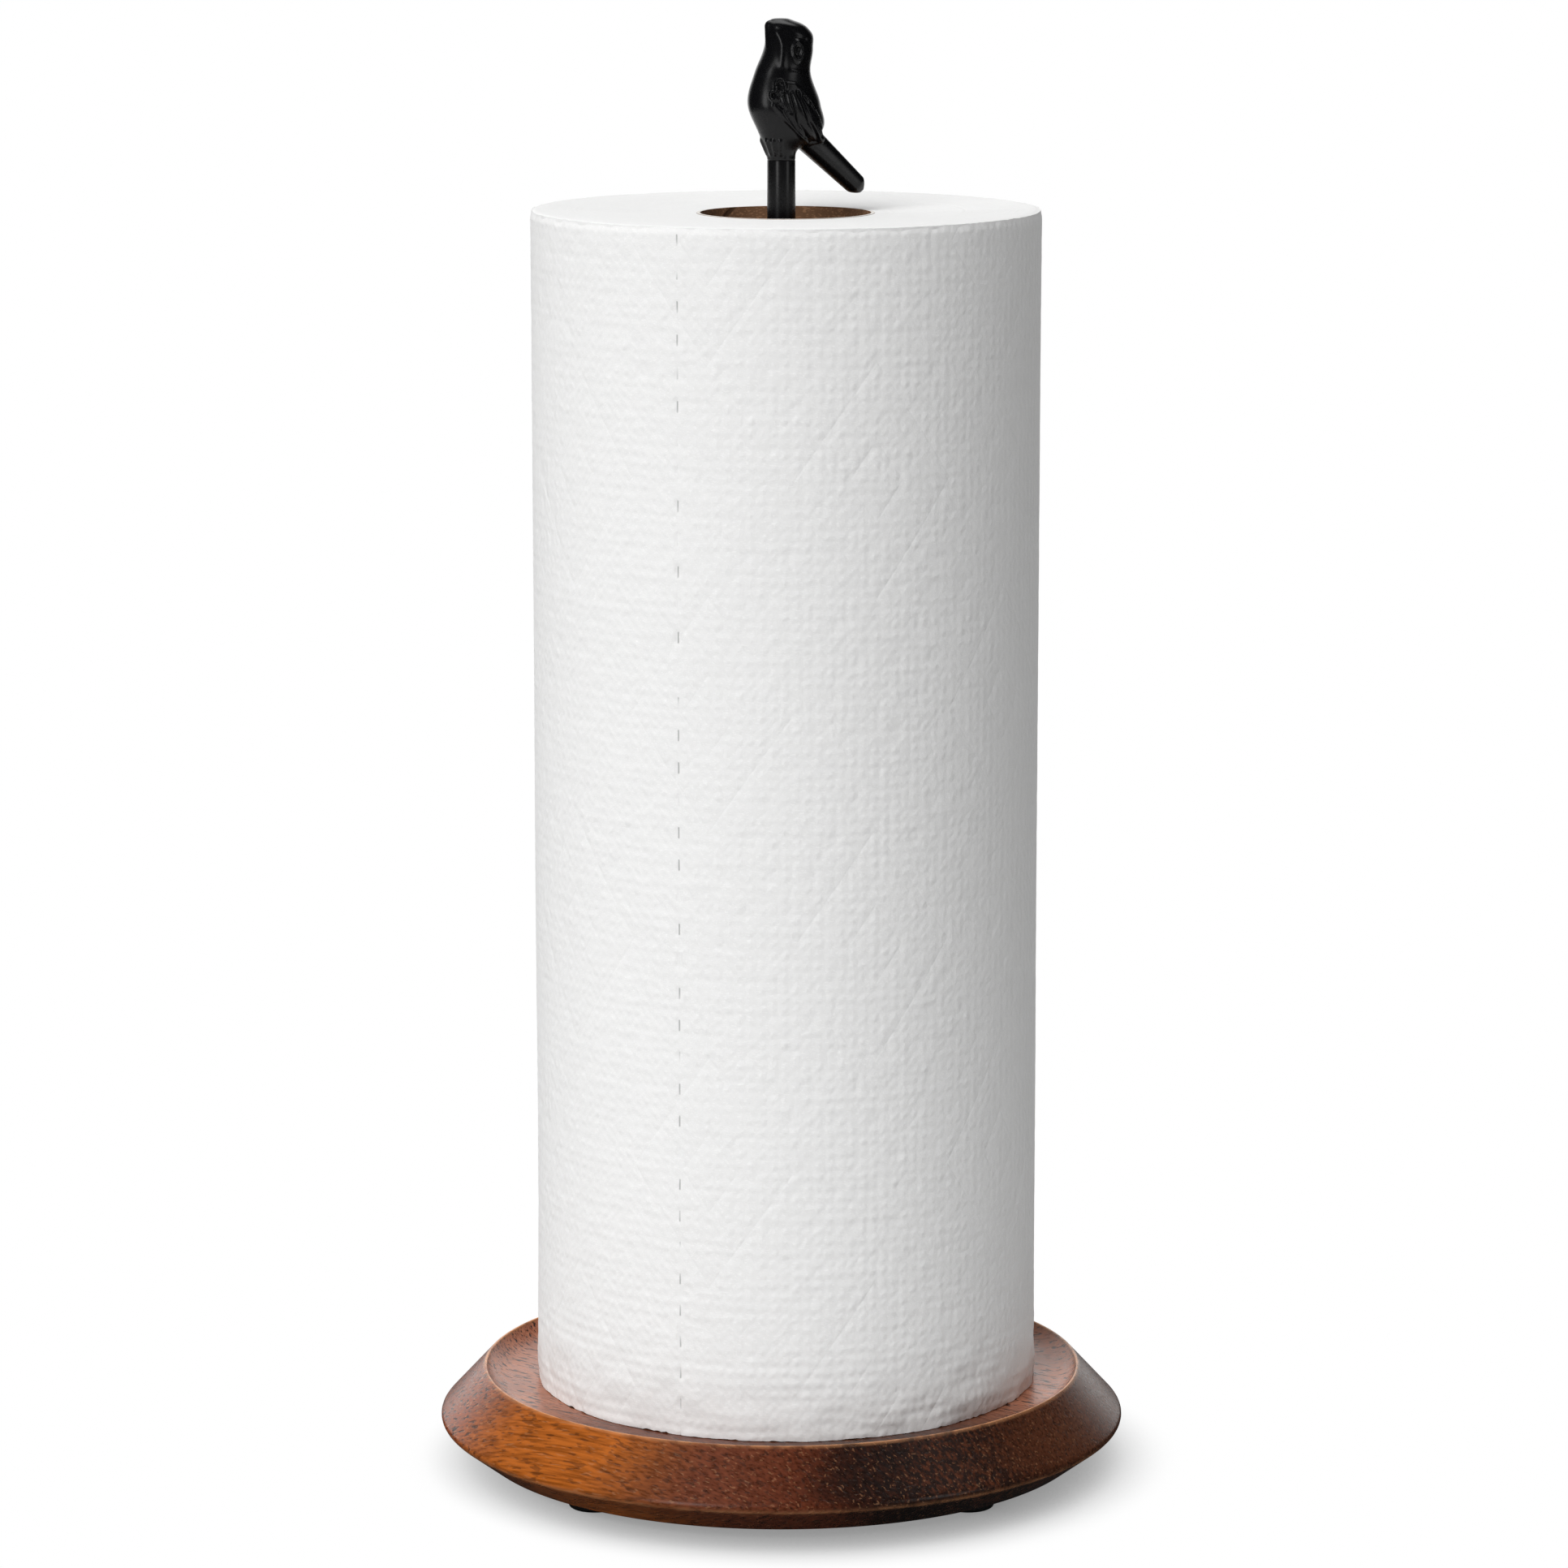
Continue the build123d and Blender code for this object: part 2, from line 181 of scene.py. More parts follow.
class Bench:
    """Short calls that add and link the nodes of one tree."""

    def __init__(self, tree):
        self.tree = tree

    def feed(self, socket, value):
        """Link a socket to an output, or give it a plain value."""
        if isinstance(value, bpy.types.NodeSocket):
            self.tree.links.new(value, socket)
        else:
            socket.default_value = value

    def node(self, kind, settings=None, **inputs):
        """Add a node with its options and inputs, whose names have underscores for spaces."""
        made = self.tree.nodes.new(kind)
        for option, value in (settings or {}).items():
            setattr(made, option, value)
        for name, value in inputs.items():
            self.feed(made.inputs[name.replace("_", " ")], value)
        return made

    def operate(self, kind, settings, *values):
        """Add a node with its options, and values for its first inputs in order."""
        made = self.node(kind, settings)
        for socket, value in zip(made.inputs, values):
            self.feed(socket, value)
        return made.outputs

    def math(self, operation, *values):
        """A sum, product or other operation on numbers."""
        return self.operate("ShaderNodeMath", {"operation": operation}, *values)[0]

    def times(self, first, second):
        """A product of two numbers."""
        return self.math("MULTIPLY", first, second)

    def vector(self, operation, *values):
        """An operation on vectors that gives a vector."""
        return self.operate("ShaderNodeVectorMath", {"operation": operation}, *values)["Vector"]

    def measure(self, operation, *values):
        """An operation on vectors that gives a number."""
        return self.operate("ShaderNodeVectorMath", {"operation": operation}, *values)["Value"]

    def stretched(self, vector, factors):
        """A vector with each part multiplied by its own factor."""
        return self.vector("MULTIPLY", vector, factors)

    def parts(self, vector):
        """The X, Y and Z of a vector."""
        return self.node("ShaderNodeSeparateXYZ", Vector=vector).outputs

    def joined(self, **parts):
        """A vector made of its X, Y and Z."""
        return self.node("ShaderNodeCombineXYZ", **parts).outputs[0]

    def band(self, value, low, high, first=0.0, last=1.0):
        """A smooth step from first to last while the value goes from low to high."""
        smooth = {"interpolation_type": "SMOOTHSTEP"}
        return self.operate("ShaderNodeMapRange", smooth, value, low, high, first, last)[0]

    def noise(self, vector, scale=1.0, detail=2.0):
        """Cloudy noise about one half."""
        return self.node("ShaderNodeTexNoise", Vector=vector, Scale=scale, Detail=detail).outputs["Fac"]

    def mix(self, factor, first, second, blend="MIX"):
        """One colour laid over another."""
        made = self.node("ShaderNodeMix", {"data_type": "RGBA", "blend_type": blend})
        for place, value in ((0, factor), (6, first), (7, second)):
            self.feed(made.inputs[place], value)
        return made.outputs[2]

    def tint(self, colour, gain):
        """A colour with each of its parts multiplied."""
        return self.mix(1.0, colour, gain, "MULTIPLY")

    def ramp(self, value, stops):
        """A run of colours along a value from 0 to 1."""
        made = self.node("ShaderNodeValToRGB", Fac=value)
        elements = made.color_ramp.elements
        while len(elements) < len(stops):
            elements.new(0.5)
        for element, (place, colour) in zip(elements, stops):
            element.position = place
            element.color = (*colour, 1)
        return made.outputs["Color"]

    def attribute(self, name):
        """A number stored on the points of the mesh."""
        return self.node("ShaderNodeAttribute", {"attribute_name": name}).outputs["Fac"]

    def bump(self, height, distance):
        """A normal bent by a height."""
        return self.node("ShaderNodeBump", Height=height, Distance=distance).outputs["Normal"]

    def group(self, make, **inputs):
        """Place a shared node group, which its function makes at its first use, and feed it."""
        name = make.__name__.replace("_", " ").capitalize()
        if name not in bpy.data.node_groups:
            make(name)
        return self.node("ShaderNodeGroup", {"node_tree": bpy.data.node_groups[name]}, **inputs).outputs


def shade(colour, factor):
    """A colour made lighter or darker, with full alpha."""
    return (*(min(1.0, part * factor) for part in colour), 1)


def new_group(name, inputs, outputs):
    """An empty shader node group and the bench to fill it. Its sockets are numbers, apart from Vector."""
    group = bpy.data.node_groups.new(name, "ShaderNodeTree")
    for direction, labels in (("INPUT", inputs), ("OUTPUT", outputs)):
        for label in labels:
            kind = "NodeSocketVector" if label == "Vector" else "NodeSocketFloat"
            group.interface.new_socket(label, in_out=direction, socket_type=kind)
    bench = Bench(group)
    return bench, bench.node("NodeGroupInput").outputs, bench.node("NodeGroupOutput").inputs


def surface_speckle(name):
    """Fine speckle over broad clouds, from 0 to 1."""
    inputs, outputs = ("Vector", "Fine Scale", "Broad Scale"), ("Fine", "Broad", "Both")
    bench, given, result = new_group(name, inputs, outputs)
    fine = bench.noise(given["Vector"], given["Fine Scale"], detail=3)
    broad = bench.noise(given["Vector"], given["Broad Scale"], detail=2)
    bench.feed(result["Fine"], fine)
    bench.feed(result["Broad"], broad)
    bench.feed(result["Both"], bench.math("MULTIPLY_ADD", fine, 0.5, bench.times(broad, 0.5)))


def fibre_flecks(name):
    """Short dashes along the first axis, as masks from 0 to 1."""
    inputs, outputs = ("Vector", "Per Length", "Per Width", "Share"), ("Mask", "Streak")
    bench, given, result = new_group(name, inputs, outputs)
    stretch = bench.joined(X=given["Per Length"], Y=given["Per Width"], Z=given["Per Width"])
    streak = bench.noise(bench.stretched(given["Vector"], stretch), detail=1)
    bench.feed(result["Streak"], streak)
    high = bench.math("SUBTRACT", 0.80, given["Share"])
    bench.feed(result["Mask"], bench.band(streak, bench.math("SUBTRACT", high, 0.07), high))


def pillow_grid(name):
    """A grid of small pillows on a flat sheet, from 0 in the valleys to 1."""
    bench, given, result = new_group(name, ("Vector", "Per Length", "Waver"), ("Height",))
    scaled = bench.node(
        "ShaderNodeVectorMath", {"operation": "SCALE"}, Vector=given["Vector"], Scale=given["Per Length"]
    ).outputs[0]
    parts = bench.parts(scaled)
    sway = bench.times(bench.noise(scaled, 0.35, detail=2), given["Waver"])
    rows = [bench.math("SINE", bench.math("MULTIPLY_ADD", parts[axis], pi, sway)) for axis in "XY"]
    crossed = bench.times(*rows)
    bench.feed(result["Height"], bench.times(crossed, crossed))


# Embossing in millimetres, round and up the roll: repeats, first diamond, half its size
DIAMOND_REPEAT = (78.0, 106.7)
DIAMOND_PLACE = (229.0, 10.0)
DIAMOND_HALF = (19.4, 27.0)
DIMPLE_REPEAT = (10.0, 16.4)

# Sizes of the nested diamonds as shares of the whole one, and from its middle square to a side
DIAMOND_SIZES = (1.0, 0.34)
DIAMOND_REACH = 1 / hypot(1 / DIAMOND_HALF[0], 1 / DIAMOND_HALF[1])
DIAMOND_LINE = 0.45


def diamond_lines(name):
    """Fine lines round the nested diamonds of a flat sheet, from 0 to 1."""
    bench, given, result = new_group(name, ("Vector",), ("Line",))
    parts = bench.parts(given["Vector"])
    line = 0.0
    for shift in (0.0, 0.5):
        size = 0.0
        for axis, repeat, start, half in zip("XY", DIAMOND_REPEAT, DIAMOND_PLACE, DIAMOND_HALF):
            share = bench.math("MULTIPLY_ADD", parts[axis], 1 / (repeat * MM), shift + 0.5 - start / repeat)
            offset = bench.math("SUBTRACT", bench.math("FRACT", share), 0.5)
            size = bench.math("MULTIPLY_ADD", bench.math("ABSOLUTE", offset), repeat / half, size)
        for nested in DIAMOND_SIZES:
            gap = bench.math("ABSOLUTE", bench.math("SUBTRACT", size, nested))
            line = bench.math("MAXIMUM", line, bench.band(gap, 0.0, DIAMOND_LINE / DIAMOND_REACH, 1.0, 0.0))
    bench.feed(result["Line"], line)


def blank_material(name):
    """A new material with the bench to dress it, its shader inputs and the object's coordinates."""
    material = bpy.data.materials.new(name)
    material.use_nodes = True
    material.node_tree.nodes.clear()
    bench = Bench(material.node_tree)
    shader = bench.node("ShaderNodeBsdfPrincipled")
    bench.node("ShaderNodeOutputMaterial", Surface=shader.outputs[0])
    place = bench.node("ShaderNodeTexCoord").outputs["Object"]
    return material, bench, shader.inputs, place


# Perforations: spacing of the slits, where half their width and length fade out, how often along the line
# they open and close, and the strength of the painted shade in them
DASH_PITCH = 7.5 * MM
SLIT_WIDTH = (0.1 * MM, 0.26 * MM)
SLIT_LENGTH = (1.1 * MM, 1.5 * MM)
SLIT_CHANGE = 130.0
SLIT_PAINTED_SHADE = 0.6

# Bump of the paper: rise of its fuzz, and pebbles to the metre round and up the roll
FUZZ_RISE = 0.04 * MM
PEBBLES = (400.0, 310.0, 1.0)


def towel_paper():
    """Soft bleached paper: fine pillows, fibres, a little cloudiness, and painted shade in the slits along
    the perforations.
    """
    material, bench, shader, place = blank_material("towel_paper_fibre")
    roll = bpy.context.scene.holder_roll
    colour = roll.paper_colour
    sheet = bench.node("ShaderNodeUVMap", {"uv_map": "sheet"}).outputs[0]
    speckle = bench.group(surface_speckle, Vector=place, Fine_Scale=2600.0, Broad_Scale=90.0)
    flecks = bench.group(fibre_flecks, Vector=place, Per_Length=900.0, Per_Width=3600.0, Share=0.12)
    pillows = bench.group(pillow_grid, Vector=sheet, Per_Length=1 / roll.pillow_pitch, Waver=1.6)
    cloudy = bench.mix(speckle["Both"], shade(colour, 0.965), shade(colour, 1.03))
    fibrous = bench.mix(flecks["Mask"], cloudy, shade(colour, 1.06))
    flat = bench.parts(sheet)
    tear = bench.band(bench.math("PINGPONG", flat["X"], roll.sheet_length / 2), *SLIT_WIDTH, 1.0, 0.0)
    dash = bench.band(bench.math("PINGPONG", flat["Y"], DASH_PITCH / 2), *SLIT_LENGTH, 1.0, 0.0)
    torn = bench.times(tear, bench.band(flat["X"], MM, 2 * MM))
    opened = bench.band(bench.noise(bench.stretched(sheet, (0.0, SLIT_CHANGE, 0.0)), detail=0), 0.4, 0.6)
    # Painted shade: the slits along the perforations are darkened as if the gaps behind them were in
    # shadow.
    slit = bench.times(bench.times(torn, dash), bench.times(opened, SLIT_PAINTED_SHADE))
    bench.feed(shader["Base Color"], bench.mix(slit, fibrous, shade(colour, 0.25)))
    bench.feed(shader["Roughness"], bench.band(speckle["Fine"], 0.2, 0.8, 0.86, 1.0))
    shader["Specular IOR Level"].default_value = 0.2
    lumps = bench.math("ADD", speckle["Fine"], bench.noise(place, 700.0, detail=2))
    fuzz = bench.times(lumps, FUZZ_RISE)
    pebbles = bench.noise(bench.stretched(sheet, PEBBLES), detail=1)
    swelling = bench.math("MULTIPLY_ADD", pebbles, roll.pebble_rise, fuzz)
    cushioned = bench.math("MULTIPLY_ADD", pillows["Height"], roll.pillow_rise, swelling)
    lines = bench.group(diamond_lines, Vector=sheet)
    height = bench.math("MULTIPLY_ADD", lines["Line"], -roll.line_depth, cushioned)
    bench.feed(shader["Normal"], bench.bump(height, 1.0))
    return material


# Card of the core: rise of its seam in a turn, and the pale cut edge at its top
SEAM_PITCH = 95 * MM
CUT_EDGE = (0.03 * MM, 0.01 * MM)
CUT_EDGE_COLOUR = (0.78, 0.75, 0.71, 1)


def core_card():
    """Brown card wound on the slant, with a butt seam, pale fibres and a pale cut edge."""
    material, bench, shader, place = blank_material("core_card_wound")
    colour = bpy.context.scene.holder_roll.card_colour
    from_axis = (-roll_axis_x, -roll_axis_y, 0)
    centred = bench.node("ShaderNodeMapping", Vector=place, Location=from_axis).outputs[0]
    parts = bench.parts(centred)
    turn = bench.math("DIVIDE", bench.math("ARCTAN2", parts["Y"], parts["X"]), 2 * pi)
    helix = bench.math("ADD", turn, bench.math("DIVIDE", parts["Z"], SEAM_PITCH))
    seam_place = bench.math("ABSOLUTE", bench.math("SUBTRACT", bench.math("FRACT", helix), 0.5))
    seam = bench.band(seam_place, 0.004, 0.012, 1.0, 0.0)
    speckle = bench.group(surface_speckle, Vector=centred, Fine_Scale=1400.0, Broad_Scale=70.0)
    flecks = bench.group(fibre_flecks, Vector=centred, Per_Length=500.0, Per_Width=2600.0, Share=0.16)
    mottled = bench.mix(speckle["Both"], shade(colour, 0.78), shade(colour, 1.22))
    flecked = bench.mix(flecks["Mask"], mottled, shade(colour, 1.7))
    seamed = bench.mix(seam, flecked, shade(colour, 0.5))
    rim = bench.band(parts["Z"], *(core_high.z - fall for fall in CUT_EDGE))
    bench.feed(shader["Base Color"], bench.mix(rim, seamed, CUT_EDGE_COLOUR))
    bench.feed(shader["Roughness"], bench.band(speckle["Broad"], 0.2, 0.8, 0.78, 0.95))
    shader["Specular IOR Level"].default_value = 0.25
    height = bench.math("SUBTRACT", speckle["Fine"], bench.times(seam, 1.5))
    bench.feed(shader["Normal"], bench.bump(height, 0.08 * MM))
    return material


def black_metal():
    """Black satin paint on cast metal, with a slight orange-peel skin. Pole and bird share it."""
    name = "black_metal_satin"
    if name in bpy.data.materials:
        return bpy.data.materials[name]
    material, bench, shader, place = blank_material(name)
    colour = bpy.context.scene.holder_bird.metal_colour
    speckle = bench.group(surface_speckle, Vector=place, Fine_Scale=1700.0, Broad_Scale=120.0)
    bench.feed(shader["Base Color"], bench.mix(speckle["Both"], shade(colour, 0.75), shade(colour, 1.3)))
    bench.feed(shader["Roughness"], bench.band(speckle["Both"], 0.25, 0.75, 0.22, 0.3))
    shader["Specular IOR Level"].default_value = 0.3
    bench.feed(shader["Normal"], bench.bump(speckle["Fine"], 0.005 * MM))
    return material


def zinc_steel():
    """Zinc-plated steel with faint spangle."""
    material, bench, shader, place = blank_material("zinc_steel_plated")
    dull, bright = (0.52, 0.53, 0.54, 1), (0.72, 0.72, 0.70, 1)
    speckle = bench.group(surface_speckle, Vector=place, Fine_Scale=2200.0, Broad_Scale=380.0)
    bench.feed(shader["Base Color"], bench.mix(speckle["Broad"], dull, bright))
    shader["Metallic"].default_value = 1.0
    bench.feed(shader["Roughness"], bench.band(speckle["Both"], 0.25, 0.75, 0.24, 0.46))
    bench.feed(shader["Normal"], bench.bump(speckle["Fine"], 0.01 * MM))
    return material


def black_rubber():
    """Dull black rubber with a moulded skin and grey dust."""
    material, bench, shader, place = blank_material("black_rubber_moulded")
    black, dust = (0.009, 0.009, 0.009, 1), (0.028, 0.027, 0.026, 1)
    speckle = bench.group(surface_speckle, Vector=place, Fine_Scale=2400.0, Broad_Scale=260.0)
    bench.feed(shader["Base Color"], bench.mix(bench.band(speckle["Broad"], 0.45, 0.8), black, dust))
    bench.feed(shader["Roughness"], bench.band(speckle["Both"], 0.25, 0.75, 0.55, 0.8))
    bench.feed(shader["Normal"], bench.bump(speckle["Fine"], 0.03 * MM))
    return material


# Tones of the board from its pale edge across the heart to the other side
BOARD_TONES = (
    (0.00, (0.31, 0.081, 0.0085)),
    (0.010, (0.228, 0.061, 0.009)),
    (0.030, (0.142, 0.0375, 0.009)),
    (0.055, (0.108, 0.027, 0.010)),
    (0.135, (0.082, 0.019, 0.0075)),
    (0.265, (0.062, 0.017, 0.007)),
    (0.465, (0.062, 0.019, 0.008)),
    (0.665, (0.080, 0.026, 0.011)),
    (1.00, (0.12, 0.045, 0.019)),
)

# Shift of the board's tones across the grain for each unit of height on the bevel and the undercut
BEVEL_SLANT = 0.93
UNDERCUT_SLANT = 1.33

# Other colours of the wood, and gains on its tones in dark and pale places
HEART_COLOUR = (0.010, 0.0045, 0.0035, 1)
KNOT_COLOUR = (0.006, 0.003, 0.0025, 1)
PORE_COLOUR = (0.012, 0.006, 0.004, 1)
FLECK_COLOUR = (0.40, 0.20, 0.10, 1)
SEAT_COLOURS = ((0.26, 0.095, 0.052, 1), (0.42, 0.165, 0.09, 1))
STREAK_GAINS = ((0.7, 0.68, 0.66, 1), (1.3, 1.28, 1.24, 1))
FIGURE_GAINS = ((0.74, 0.70, 0.68, 1), (1.2, 1.2, 1.2, 1))
THIN_STAIN_GAIN = (2.3, 2.3, 2.1, 1)

# Patterns to the metre along and across the fibres, and where along Y the pale seat tone fades out towards
# the front of the dish, a painted shade under the paper roll
SWAY_SCALE = (9.0, 38.0, 55.0)
FLAME_SCALE = (70.0, 1000.0, 800.0)
DISH_PAINTED_SHADE = (-46 * MM, -18 * MM)


def stained_wood():
    """Stained and oiled hardwood: board tones, fibres, dark pores, pale flecks, worn edges and a painted
    shade at the front of the dish.
    """
    material, bench, shader, place = blank_material("stained_wood_turned")
    base = bpy.context.scene.holder_base
    tilt = (0.03, 0.06, -base.grain_turn)
    grain = bench.node("ShaderNodeMapping", Vector=place, Rotation=tilt).outputs[0]
    parts = bench.parts(grain)
    along = bench.math("DIVIDE", parts["X"], base_high.x)
    climb = bench.math("SUBTRACT", parts["Z"], base_low.z + base.edge_rise)
    slants = [bench.times(climb, slant) for slant in (BEVEL_SLANT, -UNDERCUT_SLANT)]
    slanted = bench.math("SUBTRACT", parts["Y"], bench.math("MAXIMUM", *slants))
    board = bench.math("MULTIPLY_ADD", slanted, 0.5 / base_high.x, 0.5)
    sway = bench.noise(bench.stretched(grain, SWAY_SCALE), detail=4)
    swayed = bench.math("MULTIPLY_ADD", bench.math("SUBTRACT", sway, 0.5), 0.05, board)
    lines = bench.group(fibre_flecks, Vector=grain, Per_Length=100.0, Per_Width=1500.0, Share=0.3)
    pores = bench.group(fibre_flecks, Vector=grain, Per_Length=260.0, Per_Width=1100.0, Share=0.14)
    pale = bench.group(fibre_flecks, Vector=grain, Per_Length=300.0, Per_Width=1700.0, Share=0.1)
    streaks = bench.band(lines["Streak"], 0.3, 0.7)
    streaked = bench.tint(bench.ramp(swayed, BOARD_TONES), bench.mix(streaks, *STREAK_GAINS))
    flame = bench.noise(bench.stretched(grain, FLAME_SCALE), detail=4)
    heart = bench.times(bench.band(board, 0.1, 0.24), bench.band(board, 0.52, 0.36))
    heart = bench.times(heart, bench.band(along, 0.3, 0.7))
    burnt = bench.times(heart, bench.band(flame, 0.36, 0.58, 0.0, 0.92))
    darkened = bench.mix(burnt, streaked, HEART_COLOUR)
    knot = bench.times(bench.band(board, 0.13, 0.19), bench.band(board, 0.31, 0.24))
    knot = bench.times(knot, bench.band(along, 0.3, 0.7, 0.0, 0.7))
    shaded = bench.mix(knot, darkened, KNOT_COLOUR)
    flecked = bench.mix(bench.times(pale["Mask"], 0.26), shaded, FLECK_COLOUR)
    pale_end = bench.band(along, -0.25, -0.6)
    thinned = bench.mix(pale_end, flecked, bench.tint(flecked, THIN_STAIN_GAIN))
    # Painted shade: towards the front the dish keeps the darker board tones instead of its pale seat tone,
    # as if shaded by the paper roll.
    dish = bench.times(bench.attribute("dish"), bench.band(bench.parts(place)["Y"], *DISH_PAINTED_SHADE, 0.1, 1.0))
    figure = bench.mix(bench.band(sway, 0.36, 0.64), *FIGURE_GAINS)
    seat_toned = bench.mix(dish, thinned, bench.tint(bench.mix(streaks, *SEAT_COLOURS), figure))
    thin_stain = bench.math("MAXIMUM", pale_end, dish)
    open_pores = bench.times(pores["Mask"], bench.band(thin_stain, 0.0, 1.0, 0.45, 0.95))
    bare = bench.mix(open_pores, seat_toned, PORE_COLOUR)
    patchy = bench.band(bench.noise(place, 240.0, detail=3), 0.3, 0.6, 0.35, 1.0)
    rubbed = bench.times(bench.attribute("wear"), patchy)
    bench.feed(shader["Base Color"], bench.mix(rubbed, bare, (*base.worn_colour, 1)))
    bench.feed(shader["Roughness"], bench.band(lines["Streak"], 0.25, 0.75, 0.26, 0.36))
    shader["Specular IOR Level"].default_value = 0.3
    height = bench.math("SUBTRACT", bench.times(lines["Streak"], 0.35), pores["Mask"])
    bench.feed(shader["Normal"], bench.bump(height, 0.02 * MM))
    return material


def hashed(cells, seed):
    """A repeatable number from -1 to 1 for each row of whole numbers."""
    primes = np.array([73856093, 19349663, 83492791], dtype=np.uint64)[: cells.shape[1]]
    mixed = (cells.astype(np.uint64) * primes).sum(axis=1, dtype=np.uint64) + np.uint64(seed * 7919)
    for shift, factor in ((29, 0xBF58476D1CE4E5B9), (32, 0x94D049BB133111EB)):
        mixed = (mixed ^ (mixed >> np.uint64(shift))) * np.uint64(factor)
    return (mixed >> np.uint64(40)).astype(float) / 2**23 - 1


def soft_noise(points, seed):
    """Smooth noise from -1 to 1 at each row of points, with one bump to each unit cell."""
    points = np.asarray(points, float) + 4096
    cell = np.floor(points)
    share = points - cell
    share = share * share * (3 - 2 * share)
    total = np.zeros(len(points))
    for corner in product((0, 1), repeat=points.shape[1]):
        weight = np.where(corner, share, 1 - share).prod(axis=1)
        total += weight * hashed(cell.astype(np.int64) + np.array(corner), seed)
    return total


def smooth_step(value, low, high):
    """From 0 to 1, smoothly, while the value goes from low to high."""
    share = np.clip((value - low) / (high - low), 0, 1)
    return share * share * (3 - 2 * share)


def ridge(gap, width):
    """A rounded ridge over a line, from 0 to 1."""
    return np.exp(-((gap / width) ** 2))


def add_piece(name, mesh, material, body, node, crease=50):
    """Put a finished mesh in the scene on its body, in place of a node.

    Faces that meet at more than the crease, in degrees, keep a sharp edge.
    """
    mesh.materials.clear()
    mesh.materials.append(material)
    mesh.polygons.foreach_set("use_smooth", [True] * len(mesh.polygons))
    mesh.update()
    mesh.set_sharp_from_angle(angle=radians(crease))
    piece = bpy.data.objects.new(name, mesh)
    bpy.context.scene.collection.objects.link(piece)
    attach(piece, body)
    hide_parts(node)


def dress_nodes(names, material):
    """Give frame nodes a finished material."""
    for name in names:
        mesh = frame["nodes"][name].data
        mesh.materials.clear()
        mesh.materials.append(material)


def modified_mesh(name, source, add_modifiers):
    """Run modifiers on a mesh, keep the result as a plain mesh and drop the source."""
    holder = bpy.data.objects.new(name, source)
    bpy.context.scene.collection.objects.link(holder)
    add_modifiers(holder)
    evaluated = holder.evaluated_get(bpy.context.evaluated_depsgraph_get())
    mesh = bpy.data.meshes.new_from_object(evaluated)
    mesh.name = name
    bpy.data.objects.remove(holder)
    bpy.data.meshes.remove(source)
    return mesh


def arc_points(centre, radius, start, end, count):
    """Points along an arc, both ends included."""
    turns = [start + (end - start) * i / count for i in range(count + 1)]
    return [(centre[0] + radius * cos(turn), centre[1] + radius * sin(turn)) for turn in turns]


def rounded_corner(before, corner, after, radius, count=6):
    """Points of the arc that rounds a corner between two straight runs."""
    corner = Vector(corner)
    first = (Vector(before) - corner).normalized()
    second = (Vector(after) - corner).normalized()
    half = first.angle(second) / 2
    reach = radius / np.tan(half)
    centre = corner + (first + second).normalized() * (radius / sin(half))
    start = corner + first * reach - centre
    sweep = start.angle_signed(corner + second * reach - centre)
    points = []
    for i in range(count + 1):
        turn = -sweep * i / count
        x = start.x * cos(turn) - start.y * sin(turn)
        y = start.x * sin(turn) + start.y * cos(turn)
        points.append((centre.x + x, centre.y + y))
    return points


def spaced(points, step):
    """The same line with extra points, so that each of its runs is shorter than two steps."""
    line = [points[0]]
    for start, end in zip(points, points[1:]):
        count = max(1, int(hypot(end[0] - start[0], end[1] - start[1]) / step))
        line += [
            (start[0] + (end[0] - start[0]) * i / count, start[1] + (end[1] - start[1]) * i / count)
            for i in range(1, count + 1)
        ]
    return line


def lathe(name, profile, segments):
    """Spin a closed profile of radius and height about the Z axis."""
    profile = np.array(profile)
    turns = np.linspace(0, 2 * pi, segments, endpoint=False)
    rings = [
        np.stack([profile[:, 0] * cos(turn), profile[:, 0] * sin(turn), profile[:, 1]], axis=1)
        for turn in turns
    ]
    count = len(profile)
    faces = []
    for i, j in product(range(segments), range(count)):
        here, there = i * count, (i + 1) % segments * count
        faces.append((here + j, there + j, there + (j + 1) % count, here + (j + 1) % count))
    mesh = bpy.data.meshes.new(name)
    mesh.from_pydata(np.concatenate(rings).tolist(), [], faces)
    return mesh


# Turned base: how far its sharp corners stand past the rounded ones, and the rounding of its foot
RIM_CORNER_RISE = 0.25 * MM
EDGE_CORNER_REACH = 0.64 * MM
FOOT_ROUND = 0.8 * MM
FOOT_FLAT = 2 * MM

# Holes in the base: room round the pole and the washer, and the hole for the screw
SOCKET_ROOM = 0.05 * MM
POCKET_ROOM = 1.0 * MM
SCREW_HOLE_RADIUS = 2.25 * MM

# Spacing of the points on the base's profile, where it shows and where it doesn't
COVE_STEPS = 12
FINE_STEP = 0.8 * MM
COARSE_STEP = 8 * MM

# Where the tones of the dish fade out inside the rim
DISH_FADE = 0.8 * MM

# Worn edges of the base: middle of the wear from the sharp corner, its width and its strength
RIM_WEAR = ((0.0, -0.2 * MM), 0.42 * MM, 1.0)
EDGE_WEAR = ((-1.2 * MM, -0.6 * MM), 0.5 * MM, 0.4)


